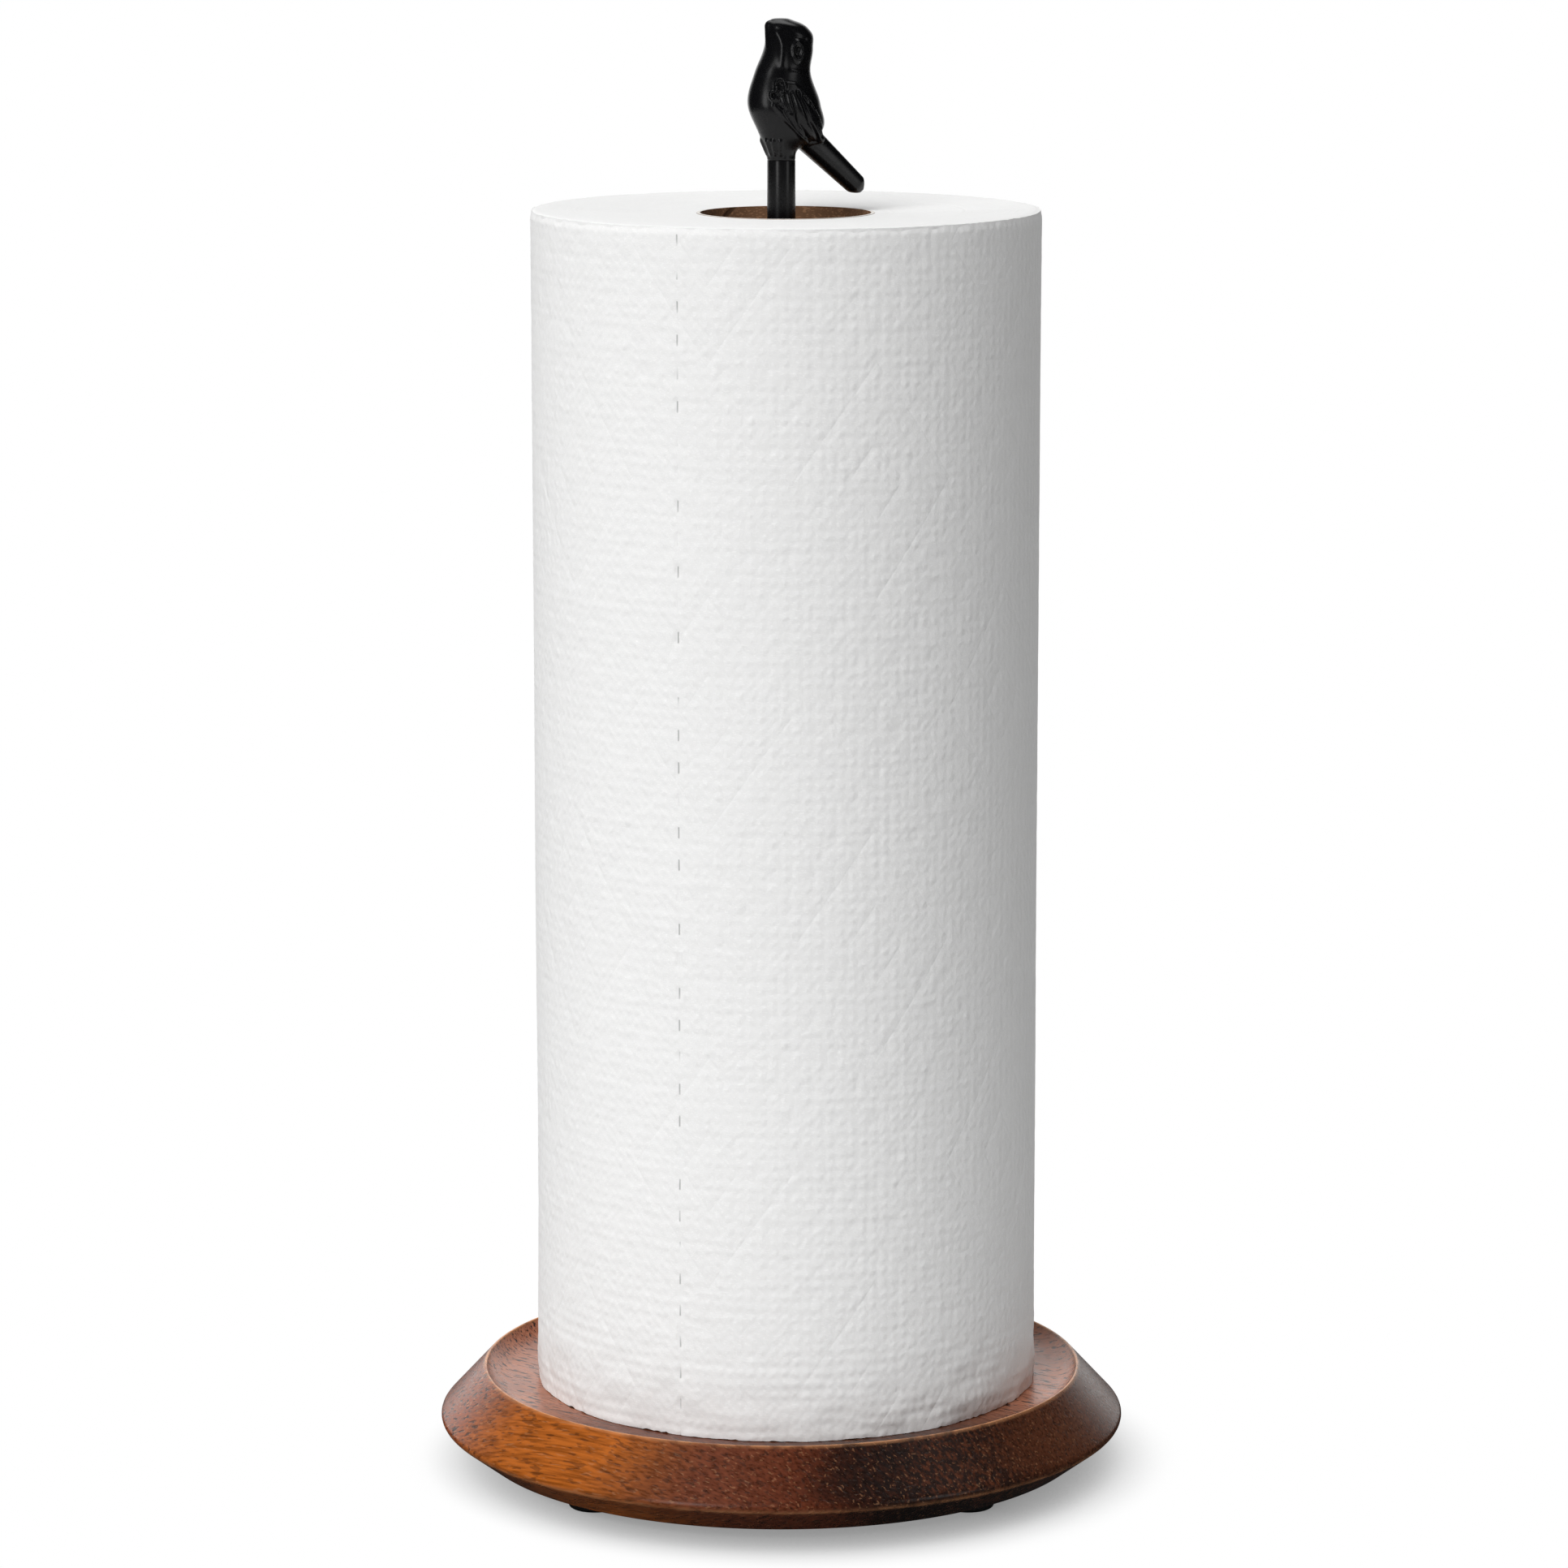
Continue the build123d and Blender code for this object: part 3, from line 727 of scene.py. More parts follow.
class HOLDER_OT_base(bpy.types.Operator):
    """Turn the wooden base with its dish, pole socket and screw pocket"""

    bl_idname = "towel_holder.base"
    bl_label = "Turned base"

    def execute(self, context):
        base = context.scene.holder_base
        bottom = base_low.z
        rim_level = base_high.z + RIM_CORNER_RISE
        edge_radius = base_high.x + EDGE_CORNER_REACH
        rim = (edge_radius - base.rim_inset, rim_level)
        edge = (edge_radius, bottom + base.edge_rise)
        foot = (edge_radius - base.undercut_run, bottom)
        seat = (rim[0] - base.dish_run, rim_level - base.seat_fall)
        socket_radius = pole_high.x + SOCKET_ROOM
        pocket_radius = washer_high.x + POCKET_ROOM
        cove = (base.dish_run**2 + base.seat_fall**2) / (2 * base.seat_fall)
        cove_turn = np.arcsin(base.dish_run / cove)
        hollow = arc_points((seat[0], seat[1] + cove), cove, -pi / 2, -pi / 2 + cove_turn, COVE_STEPS)
        underside = [
            (SCREW_HOLE_RADIUS, pole_low.z),
            (SCREW_HOLE_RADIUS, washer_high.z),
            (pocket_radius, washer_high.z),
            (pocket_radius, bottom),
            (foot[0] - FOOT_FLAT, bottom),
        ]
        outside = rounded_corner((0, bottom), foot, edge, FOOT_ROUND)
        outside += rounded_corner(foot, edge, rim, base.edge_round)
        outside += rounded_corner(edge, rim, hollow[-2], base.rim_round)
        outside += hollow[-2::-1] + [(socket_radius, seat[1])]
        socket_floor = [(socket_radius, pole_low.z), (SCREW_HOLE_RADIUS, pole_low.z)]
        profile = []
        for line, step in ((underside, COARSE_STEP), (outside, FINE_STEP), (socket_floor, COARSE_STEP)):
            profile += spaced(line, step)
        mesh = lathe("base_disc_turned", profile[:-1], base.segments)
        points = np.array([corner.co for corner in mesh.vertices])
        radius, level = np.hypot(points[:, 0], points[:, 1]), points[:, 2]
        wear = np.zeros(len(points))
        for corner, (shift, width, strength) in ((rim, RIM_WEAR), (edge, EDGE_WEAR)):
            gap = np.hypot(radius - corner[0] - shift[0], level - corner[1] - shift[1])
            wear += strength * ridge(gap, width)
        dish = (1 - smooth_step(radius, rim[0] - DISH_FADE, rim[0])) * smooth_step(level, bottom, seat[1])
        for name, values in (("wear", np.clip(wear, 0, 1)), ("dish", dish)):
            mesh.attributes.new(name, "FLOAT", "POINT").data.foreach_set("value", values)
        add_piece("base_disc_turned", mesh, stained_wood(), "stand", "base_disc")
        return {"FINISHED"}


class HOLDER_OT_pole(bpy.types.Operator):
    """Paint the pole satin black"""

    bl_idname = "towel_holder.pole"
    bl_label = "Pole"

    def execute(self, context):
        dress_nodes(["pole"], black_metal())
        return {"FINISHED"}


class HOLDER_OT_fasteners(bpy.types.Operator):
    """Plate the stud, screws and washers with zinc"""

    bl_idname = "towel_holder.fasteners"
    bl_label = "Fasteners"

    def execute(self, context):
        names = ["finial_stud", "pole_screw", "pole_washer", "pole_lock_washer", "foot_screws"]
        dress_nodes(names, zinc_steel())
        return {"FINISHED"}


class HOLDER_OT_feet(bpy.types.Operator):
    """Finish the rubber feet"""

    bl_idname = "towel_holder.feet"
    bl_label = "Feet"

    def execute(self, context):
        feet = [name for name in frame["nodes"] if name.startswith("foot_") and name != "foot_screws"]
        dress_nodes(feet, black_rubber())
        return {"FINISHED"}


# Upright sections of the bird in millimetres: height above the perch, centre, length, width
BIRD_SECTIONS = (
    (-0.4, 0.0, 6.66, 6.66),
    (1.6, 0.0, 7.0, 7.0),
    (6.2, 2.2, 15.4, 11.4),
    (12.6, 0.7, 17.7, 13.2),
    (20.3, 0.35, 13.4, 10.4),
    (25.5, 1.8, 11.7, 10.4),
    (29.6, 1.7, 10.6, 8.8),
    (31.3, 0.6, 8.3, 6.8),
    (32.2, -0.2, 4.8, 3.8),
)

# Rings that close the crown: rise above the last section in millimetres, share of its size
CROWN_RISE = (0.2, 0.28)
CROWN_SHARE = (0.8, 0.4)
BODY_RINGS = 90

# Places on the bird in millimetres: along its back, across it, height above the perch
BEAK_ROOT, BEAK_TIP, CHIN = (0.2, 0, 28.6), (-2.85, 0, 30.75), (-2.35, 0, 25.5)
TAIL_ROOT, TAIL_TIP = (5.5, 0, 5.7), (20.9, 0, -8.0)
SHOULDER, WING_TIP = (-2.6, 4.6, 17.8), (9.4, 3.0, 3.6)
BEAK_RADII = (3.2 * MM, 1.35 * MM, 1.65 * MM)
WING_SWELL = 3.2 * MM

# Tail: width and depth at its root and tip in millimetres, share that is straight, share that is rounded
TAIL_WIDTH, TAIL_DEPTH = (6.6, 5.0), (6.4, 4.6)
TAIL_STRAIGHT, TAIL_ROUND = 0.885, 0.115

# Toes: turns round the pole, then reach along and across the bird and height of knuckle and claw
TOE_TURNS = (radians(20), radians(42), radians(64))
KNUCKLE, CLAW = (-4.5, 4.15, 4.4), (-3.3, 3.25, 1.2)
TOE_RADII = (0.7 * MM, 0.5 * MM)

# Brow, cheek and jowl on the bird's flank: line along its back and up, rise in metres, width
# (line and width in millimetres)
HEAD_LINES = (
    (((-0.8, 29.4), (1.2, 28.4), (4.1, 27.7)), -0.28 * MM, 0.55),
    (((-2.5, 29.2), (-1.9, 27.9), (-1.5, 26.4), (-1.9, 21.8)), 0.34 * MM, 0.8),
    (((0.0, 20.9), (2.4, 20.4)), 0.2 * MM, 0.35),
)

# Wing and feathers on the flank in millimetres: along the bird's back, height above the perch
WING_OUTLINE = (
    (-4.0, 16.6),
    (-4.6, 12.6),
    (-1.8, 9.0),
    (2.0, 5.6),
    (5.4, 3.2),
    (9.4, 3.8),
    (8.4, 7.4),
    (5.0, 13.2),
    (1.0, 17.8),
    (-2.0, 18.2),
)
FEATHER_LINES = (
    ((-0.4, 15.4), (1.4, 8.4), (4.8, 4.6)),
    ((1.1, 15.6), (3.9, 8.8), (7.3, 4.7)),
    ((2.7, 14.6), (5.6, 9.2), (8.3, 5.3)),
    ((4.4, 12.6), (7.0, 8.4), (8.8, 5.9)),
    ((-1.6, 11.0), (1.2, 7.2), (3.6, 5.2)),
    ((-3.4, 15.6), (-2.7, 12.6)),
    ((-2.0, 16.6), (-1.5, 13.2), (-0.6, 11.2)),
    ((-3.8, 13.4), (-1.8, 11.6)),
)
FEATHER_WIDTH = 0.38

# Ringed hollows on the bird's flank in millimetres: place, half size
EYE_PLACE = (1.8, 25.0)
EYE_SIZE = (1.15, 2.0)
PUPIL_SHIFT = (0.2, 0.35)
HOLLOWS = ((EYE_PLACE, EYE_SIZE), ((-2.7, 17.0), (1.0, 1.5)), ((-4.3, 15.0), (0.65, 0.9)))
RING_RISE, HOLLOW_DEPTH, PUPIL_RISE = 0.45 * MM, 0.4 * MM, 0.3 * MM

# Tail grooves: depth, then distance from the middle and width in millimetres
TAIL_GROOVE = (0.25 * MM, 1.0, 0.3)


def between(places, values, at):
    """Values between given places, on one smooth curve through them."""
    places, values, at = np.array(places), np.array(values), np.array(at)
    slopes = np.gradient(values, places)
    i = np.clip(np.searchsorted(places, at) - 1, 0, len(places) - 2)
    gap = places[i + 1] - places[i]
    t = (at - places[i]) / gap
    return (
        values[i] * (1 + 2 * t) * (1 - t) ** 2
        + slopes[i] * gap * t * (1 - t) ** 2
        + values[i + 1] * t * t * (3 - 2 * t)
        + slopes[i + 1] * gap * t * t * (t - 1)
    )


def unit(vector):
    """A direction with a length of one."""
    return vector / np.linalg.norm(vector)


def swept_solid(centres, wide, deep, wide_axis, deep_axis, count=64, power=2.0):
    """A closed solid of rings, each with its own centre, half width and half depth."""
    turns = np.linspace(0, 2 * pi, count, endpoint=False)
    across = np.sign(np.cos(turns)) * np.abs(np.cos(turns)) ** (2 / power)
    along = np.sign(np.sin(turns)) * np.abs(np.sin(turns)) ** (2 / power)
    points = [
        np.array(centre) + np.outer(across * w, wide_axis) + np.outer(along * d, deep_axis)
        for centre, w, d in zip(centres, wide, deep)
    ]
    faces = []
    for i, j in product(range(len(points) - 1), range(count)):
        low, high, after = i * count, (i + 1) * count, (j + 1) % count
        faces.append((low + j, low + after, high + after, high + j))
    faces.append(tuple(range(count))[::-1])
    faces.append(tuple((len(points) - 1) * count + j for j in range(count)))
    return np.concatenate(points), faces


def capsule(start, end, radius_start, radius_end):
    """A bar with round ends that changes its radius along its length."""
    start, end = np.array(start, float), np.array(end, float)
    axis = unit(end - start)
    wide_axis = unit(np.cross(axis, (0.31, 0.52, 0.79)))
    turns = np.radians(np.linspace(-88, 0, 8))
    tips = [(start + axis * radius_start * np.sin(t), radius_start * np.cos(t)) for t in turns]
    tips += [(end - axis * radius_end * np.sin(t), radius_end * np.cos(t)) for t in turns[::-1]]
    centres, radii = zip(*tips)
    return swept_solid(centres, radii, radii, wide_axis, np.cross(axis, wide_axis), 24)


def line_gap(points, line):
    """Distance of flat points from a line of straight runs."""
    gap = np.full(len(points), np.inf)
    for start, end in zip(line, line[1:]):
        start, run = np.array(start), np.subtract(end, start)
        share = np.clip(((points - start) @ run) / (run @ run), 0, 1)
        gap = np.minimum(gap, np.linalg.norm(points - start - share[:, None] * run, axis=1))
    return gap


def inside_outline(points, outline):
    """Signed distance of flat points from a closed outline, positive inside."""
    gap = line_gap(points, (*outline, outline[0]))
    inside = np.zeros(len(points), bool)
    for (x0, y0), (x1, y1) in zip(outline, (*outline[1:], outline[0])):
        level = (y0 > points[:, 1]) != (y1 > points[:, 1])
        rise = y1 - y0 if y1 != y0 else 1e-9
        inside ^= level & (points[:, 0] < (x1 - x0) * (points[:, 1] - y0) / rise + x0)
    return np.where(inside, gap, -gap)


class HOLDER_OT_bird(bpy.types.Operator):
    """Cast the bird: join its rounded solids, then cut its feathers, eyes and claws"""

    bl_idname = "towel_holder.bird"
    bl_label = "Cast bird"

    def execute(self, context):
        bird = context.scene.holder_bird
        back = np.array((cos(bird.turn), sin(bird.turn), 0))
        side = np.array((-sin(bird.turn), cos(bird.turn), 0))
        up = np.array((0, 0, 1.0))
        perch = np.array((0, 0, pole_high.z))
        mesh = self.join_solids(bird, back, side, up, perch)
        points = np.array([corner.co for corner in mesh.vertices])
        normals = np.zeros(points.size)
        mesh.vertex_normals.foreach_get("vector", normals)
        normals = normals.reshape(-1, 3)
        local = (points - perch) / MM
        flat = np.stack([local @ back, local[:, 2]], axis=1)
        flank = smooth_step(np.abs(normals @ side), 0.12, 0.5)
        rise = self.relief(bird, flat, flank) + self.tail_relief(local, normals, back, side, up)
        points = points + normals * rise[:, None]
        mesh.vertices.foreach_set("co", points.ravel())
        metal = black_metal()
        add_piece("finial_bird_cast", mesh, metal, "stand", "finial_bird", crease=180)
        return {"FINISHED"}

    def join_solids(self, bird, back, side, up, perch):
        """Body, beak, tail, wings and toes in one skin."""

        def spot(along, across, height):
            return perch + MM * (back * along + side * across + up * height)

        heights, centres, lengths, widths = np.array(BIRD_SECTIONS).T
        top = heights[-1]
        levels = np.concatenate([np.linspace(heights[0], top, BODY_RINGS), top + np.array(CROWN_RISE)])
        crown = np.concatenate([np.ones(BODY_RINGS), CROWN_SHARE])
        middle, length, width = (
            between(heights, values, np.minimum(levels, top)) for values in (centres, lengths, widths)
        )
        rings = [spot(along, 0, height) for along, height in zip(middle, levels)]
        solids = [swept_solid(rings, crown * width * MM / 2, crown * length * MM / 2, side, back)]
        beak = [spot(*place) for place in (BEAK_ROOT, BEAK_TIP, CHIN)]
        solids += [capsule(*beak[i : i + 2], *BEAK_RADII[i : i + 2]) for i in (0, 1)]
        solids.append(self.tail(spot(*TAIL_ROOT), spot(*TAIL_TIP), side))
        for flank in (-1, 1):
            mirrored = (1, flank, 1)
            shoulder, wing_tip = (spot(*np.multiply(place, mirrored)) for place in (SHOULDER, WING_TIP))
            solids.append(self.wing(shoulder, wing_tip, side))
            for turn in TOE_TURNS:
                around = (cos(turn), flank * sin(turn), 1)
                knuckle, claw = (spot(*np.multiply(place, around)) for place in (KNUCKLE, CLAW))
                solids.append(capsule(knuckle, claw, *TOE_RADII))
        corners, faces = [], []
        for solid_corners, solid_faces in solids:
            start = sum(len(part) for part in corners)
            corners.append(solid_corners)
            faces += [tuple(start + i for i in face) for face in solid_faces]
        rough = bpy.data.meshes.new("finial_bird_rough")
        rough.from_pydata(np.concatenate(corners).tolist(), [], faces)

        def skin(holder):
            remesh = holder.modifiers.new("Skin", "REMESH")
            remesh.mode = "VOXEL"
            remesh.voxel_size = bird.grain
            soften = holder.modifiers.new("Soften", "SMOOTH")
            soften.factor = 0.5
            soften.iterations = 10

        return modified_mesh("finial_bird_cast", rough, skin)

    def tail(self, root, tip, side):
        """A flattened bar that narrows to a rounded end."""
        axis, reach = unit(tip - root), np.linalg.norm(tip - root)
        end = np.cos(np.radians(np.linspace(0, 86, 10)))
        shares = np.concatenate([np.linspace(0, TAIL_STRAIGHT, 12), 1 - TAIL_ROUND * end])
        swell = np.concatenate([np.ones(12), np.sqrt(end)])
        rings = [root + axis * reach * share for share in shares]
        wide, deep = (
            swell * (first + (last - first) * shares) * MM / 2 for first, last in (TAIL_WIDTH, TAIL_DEPTH)
        )
        return swept_solid(rings, wide, deep, side, np.cross(side, axis), power=2.7)

    def wing(self, shoulder, wing_tip, side):
        """A leaf-shaped swelling down the flank."""
        axis = unit(wing_tip - shoulder)
        wide_axis = unit(np.cross(axis, np.cross(side, axis)))
        steps = np.linspace(0.01, 0.99, 24)
        swell = WING_SWELL * 4 * steps * (1 - steps)
        rings = [shoulder + (wing_tip - shoulder) * step for step in steps]
        return swept_solid(rings, swell, swell, wide_axis, np.cross(axis, wide_axis), 32)

    def relief(self, bird, flat, flank):
        """Rise of the skin on head and flanks, in metres."""
        plate = inside_outline(flat, WING_OUTLINE)
        rise = bird.wing_rise * smooth_step(plate, -0.25, 0.35)
        for line in FEATHER_LINES:
            rise = rise - bird.groove_depth * ridge(line_gap(flat, line), FEATHER_WIDTH)
        for line, height, width in HEAD_LINES:
            rise = rise + height * ridge(line_gap(flat, line), width)
        for place, size in HOLLOWS:
            ring = np.linalg.norm((flat - np.array(place)) / np.array(size), axis=1)
            hollow = HOLLOW_DEPTH * (1 - smooth_step(ring, 0.45, 0.9))
            rise = rise + RING_RISE * ridge(ring - 1, 0.32) - hollow
        pupil = np.linalg.norm((flat - np.array(EYE_PLACE) - PUPIL_SHIFT) / np.array(EYE_SIZE), axis=1)
        rise = rise + PUPIL_RISE * (1 - smooth_step(pupil, 0.1, 0.5))
        return rise * flank

    def tail_relief(self, local, normals, back, side, up):
        """Two long grooves down the upper face of the tail, in metres."""
        upper_face = smooth_step(normals @ (up + back) / sqrt(2), 0.2, 0.6)
        on_tail = smooth_step(local @ back, 8.5, 10.5) * upper_face
        depth, place, width = TAIL_GROOVE
        return -depth * ridge(np.abs(local @ side) - place, width) * on_tail


# Inputs of the nodes that wind the roll, numbers apart from Place and Material
WINDING_INPUTS = (
    "Turns",
    "Inner Radius",
    "Outer Radius",
    "Thickness",
    "Height",
    "Edge Rise",
    "Bottom Lift",
    "Unevenness",
    "Place",
    "Turn",
    "Material",
)

# Windings: points in a turn, and the scale of their waver from layer to layer and across the roll
TURN_POINTS = 96
WAVER_LAYERS = 1500.0
WAVER_SCALE = 22.0

# Outermost windings: from where their top rounds off and how far, and where their bottom lifts
TOP_ROUNDING = (1.2 * MM, -0.25 * MM)
LIFT_FROM, LIFT_TO = 3 * MM, MM


def winding_tree():
    """Geometry nodes that wind a flat strip of paper into a roll with a soft top edge."""
    tree = bpy.data.node_groups.new("Wound paper", "GeometryNodeTree")
    kinds = {"Place": "NodeSocketVector", "Material": "NodeSocketMaterial"}
    for name in WINDING_INPUTS:
        tree.interface.new_socket(name, in_out="INPUT", socket_type=kinds.get(name, "NodeSocketFloat"))
    tree.interface.new_socket("Geometry", in_out="OUTPUT", socket_type="NodeSocketGeometry")
    bench = Bench(tree)
    given = bench.node("NodeGroupInput").outputs
    inner, outer = given["Inner Radius"], given["Outer Radius"]
    strip = bench.node(
        "GeometryNodeCurvePrimitiveQuadrilateral",
        {"mode": "RECTANGLE"},
        Width=given["Thickness"],
        Height=given["Height"],
    ).outputs[0]
    spiral = bench.node(
        "GeometryNodeCurveSpiral",
        Resolution=TURN_POINTS,
        Rotations=given["Turns"],
        Start_Radius=inner,
        End_Radius=outer,
        Height=0.0,
        Reverse=True,
    ).outputs[0]
    ring = bench.node("GeometryNodeCurvePrimitiveCircle", Resolution=TURN_POINTS, Radius=inner).outputs[0]
    joined = bench.node("GeometryNodeJoinGeometry")
    for curve, capped in ((spiral, True), (ring, False)):
        upright = bench.node("GeometryNodeSetCurveNormal", {"mode": "Z_UP"}, Curve=curve).outputs[0]
        wound = bench.node("GeometryNodeCurveToMesh", Curve=upright, Profile_Curve=strip, Fill_Caps=capped)
        bench.feed(joined.inputs[0], wound.outputs[0])
    parts = bench.parts(bench.node("GeometryNodeInputPosition").outputs[0])
    radius = bench.measure("LENGTH", bench.joined(X=parts["X"], Y=parts["Y"]))
    across = {axis: bench.times(parts[axis], WAVER_SCALE) for axis in "XY"}
    layer = bench.times(radius, WAVER_LAYERS)
    waver = bench.times(bench.noise(bench.joined(**across, Z=layer), detail=1), given["Unevenness"])
    slope = bench.times(bench.band(radius, inner, outer), given["Edge Rise"])
    rounding_from = bench.math("SUBTRACT", outer, TOP_ROUNDING[0])
    rounding = bench.band(radius, rounding_from, outer, 0.0, TOP_ROUNDING[1])
    top = bench.math("SUBTRACT", bench.math("ADD", slope, rounding), waver)
    lift_band = [bench.math("SUBTRACT", outer, reach) for reach in (LIFT_FROM, LIFT_TO)]
    bottom = bench.times(bench.band(radius, *lift_band), given["Bottom Lift"])
    is_top = bench.math("GREATER_THAN", parts["Z"], 0.0)
    shift = bench.math("MULTIPLY_ADD", is_top, bench.math("SUBTRACT", top, bottom), bottom)
    offset = bench.joined(Z=shift)
    settled = bench.node("GeometryNodeSetPosition", Geometry=joined.outputs[0], Offset=offset).outputs[0]
    turned = bench.joined(Z=given["Turn"])
    placed = bench.node(
        "GeometryNodeTransform", Geometry=settled, Translation=given["Place"], Rotation=turned
    ).outputs[0]
    real = bench.node("GeometryNodeRealizeInstances", Geometry=placed).outputs[0]
    finished = bench.node("GeometryNodeSetMaterial", Geometry=real, Material=given["Material"]).outputs[0]
    bench.node("NodeGroupOutput", Geometry=finished)
    return tree


def grown_mesh(name, tree, **inputs):
    """Run a geometry node tree with these inputs and keep its result as a plain mesh."""
    sockets = [item for item in tree.interface.items_tree if item.in_out == "INPUT"]
    identifiers = {item.name: item.identifier for item in sockets}

    def grow(holder):
        modifier = holder.modifiers.new("Nodes", "NODES")
        modifier.node_group = tree
        for label, value in inputs.items():
            modifier[identifiers[label.replace("_", " ")]] = value

    return modified_mesh(name, bpy.data.meshes.new(name + "_seed"), grow)


class HOLDER_OT_core(bpy.types.Operator):
    """Finish the card core of the roll"""

    bl_idname = "towel_holder.core"
    bl_label = "Card core"

    def execute(self, context):
        dress_nodes(["roll_core"], core_card())
        return {"FINISHED"}


# Wound paper: room round the core and under the sheets, unevenness of the layers, tucked end of a sheet
CORE_ROOM = 0.02 * MM
SHEET_ROOM = 0.03 * MM
LAYER_UNEVENNESS = 0.16 * MM
TUCKED_LENGTH = 3 * MM


class HOLDER_OT_roll(bpy.types.Operator):
    """Wind the paper roll and wrap it in its outer sheets"""

    bl_idname = "towel_holder.roll"
    bl_label = "Paper roll"

    def execute(self, context):
        roll = context.scene.holder_roll
        paper = towel_paper()
        inner = core_high.x - roll_axis_x + CORE_ROOM
        outer = roll_radius - roll.step - SHEET_ROOM
        pitch = (outer - inner) / (roll.turns + 1)
        height = roll_high.z - roll_low.z
        mesh = grown_mesh(
            "paper_windings",
            winding_tree(),
            Turns=float(roll.turns),
            Inner_Radius=inner + pitch / 2,
            Outer_Radius=outer - pitch / 2,
            Thickness=pitch - roll.layer_gap,
            Height=height,
            Edge_Rise=roll.edge_rise,
            Bottom_Lift=roll.bottom_lift,
            Unevenness=LAYER_UNEVENNESS,
            Place=(roll_axis_x, roll_axis_y, roll_low.z + height / 2),
            Turn=roll.loose_end,
            Material=paper,
        )
        add_piece("paper_windings", mesh, paper, "paper", "paper_roll")
        turn_length = 2 * pi * (roll_radius - roll.step / 2)
        ends = (0.0, roll.sheet_length, 2 * roll.sheet_length, turn_length + TUCKED_LENGTH)
        for number, (start, end) in enumerate(zip(ends, ends[1:]), 1):
            name = f"paper_sheet_{number}"
            mesh = wrapped_sheet(name, roll, start, end)
            add_piece(name, mesh, paper, "paper", "paper_roll")
        return {"FINISHED"}


def half_drop(arc, level, repeat, start):
    """Offsets of points from the nearest centres of both rows of a half-drop repeat."""
    for shift in (0.0, 0.5):
        across = (arc - start[0]) / repeat[0] + shift
        up = (level - start[1]) / repeat[1] + shift
        yield (across - np.round(across)) * repeat[0], (up - np.round(up)) * repeat[1]


# Pressed marks in millimetres: width of the diamonds' sides, and where a dimple starts and ends to rise
PRESSED_WIDTH = 1.1
DIMPLE_RADII = (1.1, 2.3)
EVENNESS_SIZE = 14


def pressed(arc, level):
    """How far embossing presses the paper in, from 0 to 1: nested diamonds, dimples between them."""
    arc, level = arc / MM, level / MM
    lines, size = np.zeros_like(arc), np.full_like(arc, np.inf)
    for across, up in half_drop(arc, level, DIAMOND_REPEAT, DIAMOND_PLACE):
        here = np.abs(across) / DIAMOND_HALF[0] + np.abs(up) / DIAMOND_HALF[1]
        size = np.minimum(size, here)
        for share in DIAMOND_SIZES:
            lines = np.maximum(lines, ridge((here - share) * DIAMOND_REACH, PRESSED_WIDTH))
    dimples = np.zeros_like(arc)
    for across, up in half_drop(arc, level, DIMPLE_REPEAT, DIAMOND_PLACE):
        dimples = np.maximum(dimples, 1 - smooth_step(np.hypot(across, up), *DIMPLE_RADII))
    dimples = dimples * smooth_step(size, 1.08, 1.16)
    evenness = 0.75 + 0.25 * soft_noise(np.stack([arc, level], axis=1) / EVENNESS_SIZE, 5)
    return np.maximum(lines, dimples) * evenness


# Outer sheets: room inside the CAD roll, and how far they reach below it and stay below the top layers
SKIN_ROOM = 0.1 * MM
FOOT_DROP = 0.2 * MM
TOP_DROP = 0.3 * MM

# Unevenness of the sheets: depth, and size of one bump round and up the roll
WAVE_DEPTH, WAVE_SIZE = 0.14 * MM, (38 * MM, 60 * MM)
CRINKLE_DEPTH, CRINKLE_SIZE = 0.02 * MM, (1.4 * MM, 2.8 * MM)
CRUMPLE_SIZE = (7 * MM, 5 * MM)

# Ripples and flare at the foot of the sheets, and how far up they reach
RIPPLE_DEPTH, RIPPLE_PITCH, RIPPLE_REACH = 0.05 * MM, 3.1 * MM, 16 * MM
RIPPLE_SWAY_SIZE = (22 * MM, 40 * MM)
FLARE_REACH = 18 * MM

# Cut edges of the sheets: how far they tuck in and from where, then the reach and sizes of their wander
TOP_TUCK, BOTTOM_TUCK = (0.3 * MM, 1.8 * MM), (0.12 * MM, 1.2 * MM)
RAGGED_REACH = 2.5 * MM
FINE_WANDER_SIZE, BROAD_WANDER_SIZE = (1.1 * MM, 1.0), (5 * MM, 1.0)

# Slits of the perforations: depth, reach along the sheet, and height over which they open and close
SLIT_DEPTH, SLIT_REACH, SLIT_RHYTHM = 0.34 * MM, 0.8 * MM, 9 * MM


def on_roll(radius, angle, level):
    """Points at a distance from the roll's axis, an angle round it and a height."""
    x, y = roll_axis_x + radius * np.cos(angle), roll_axis_y + radius * np.sin(angle)
    return np.stack([x, y, level], axis=1)


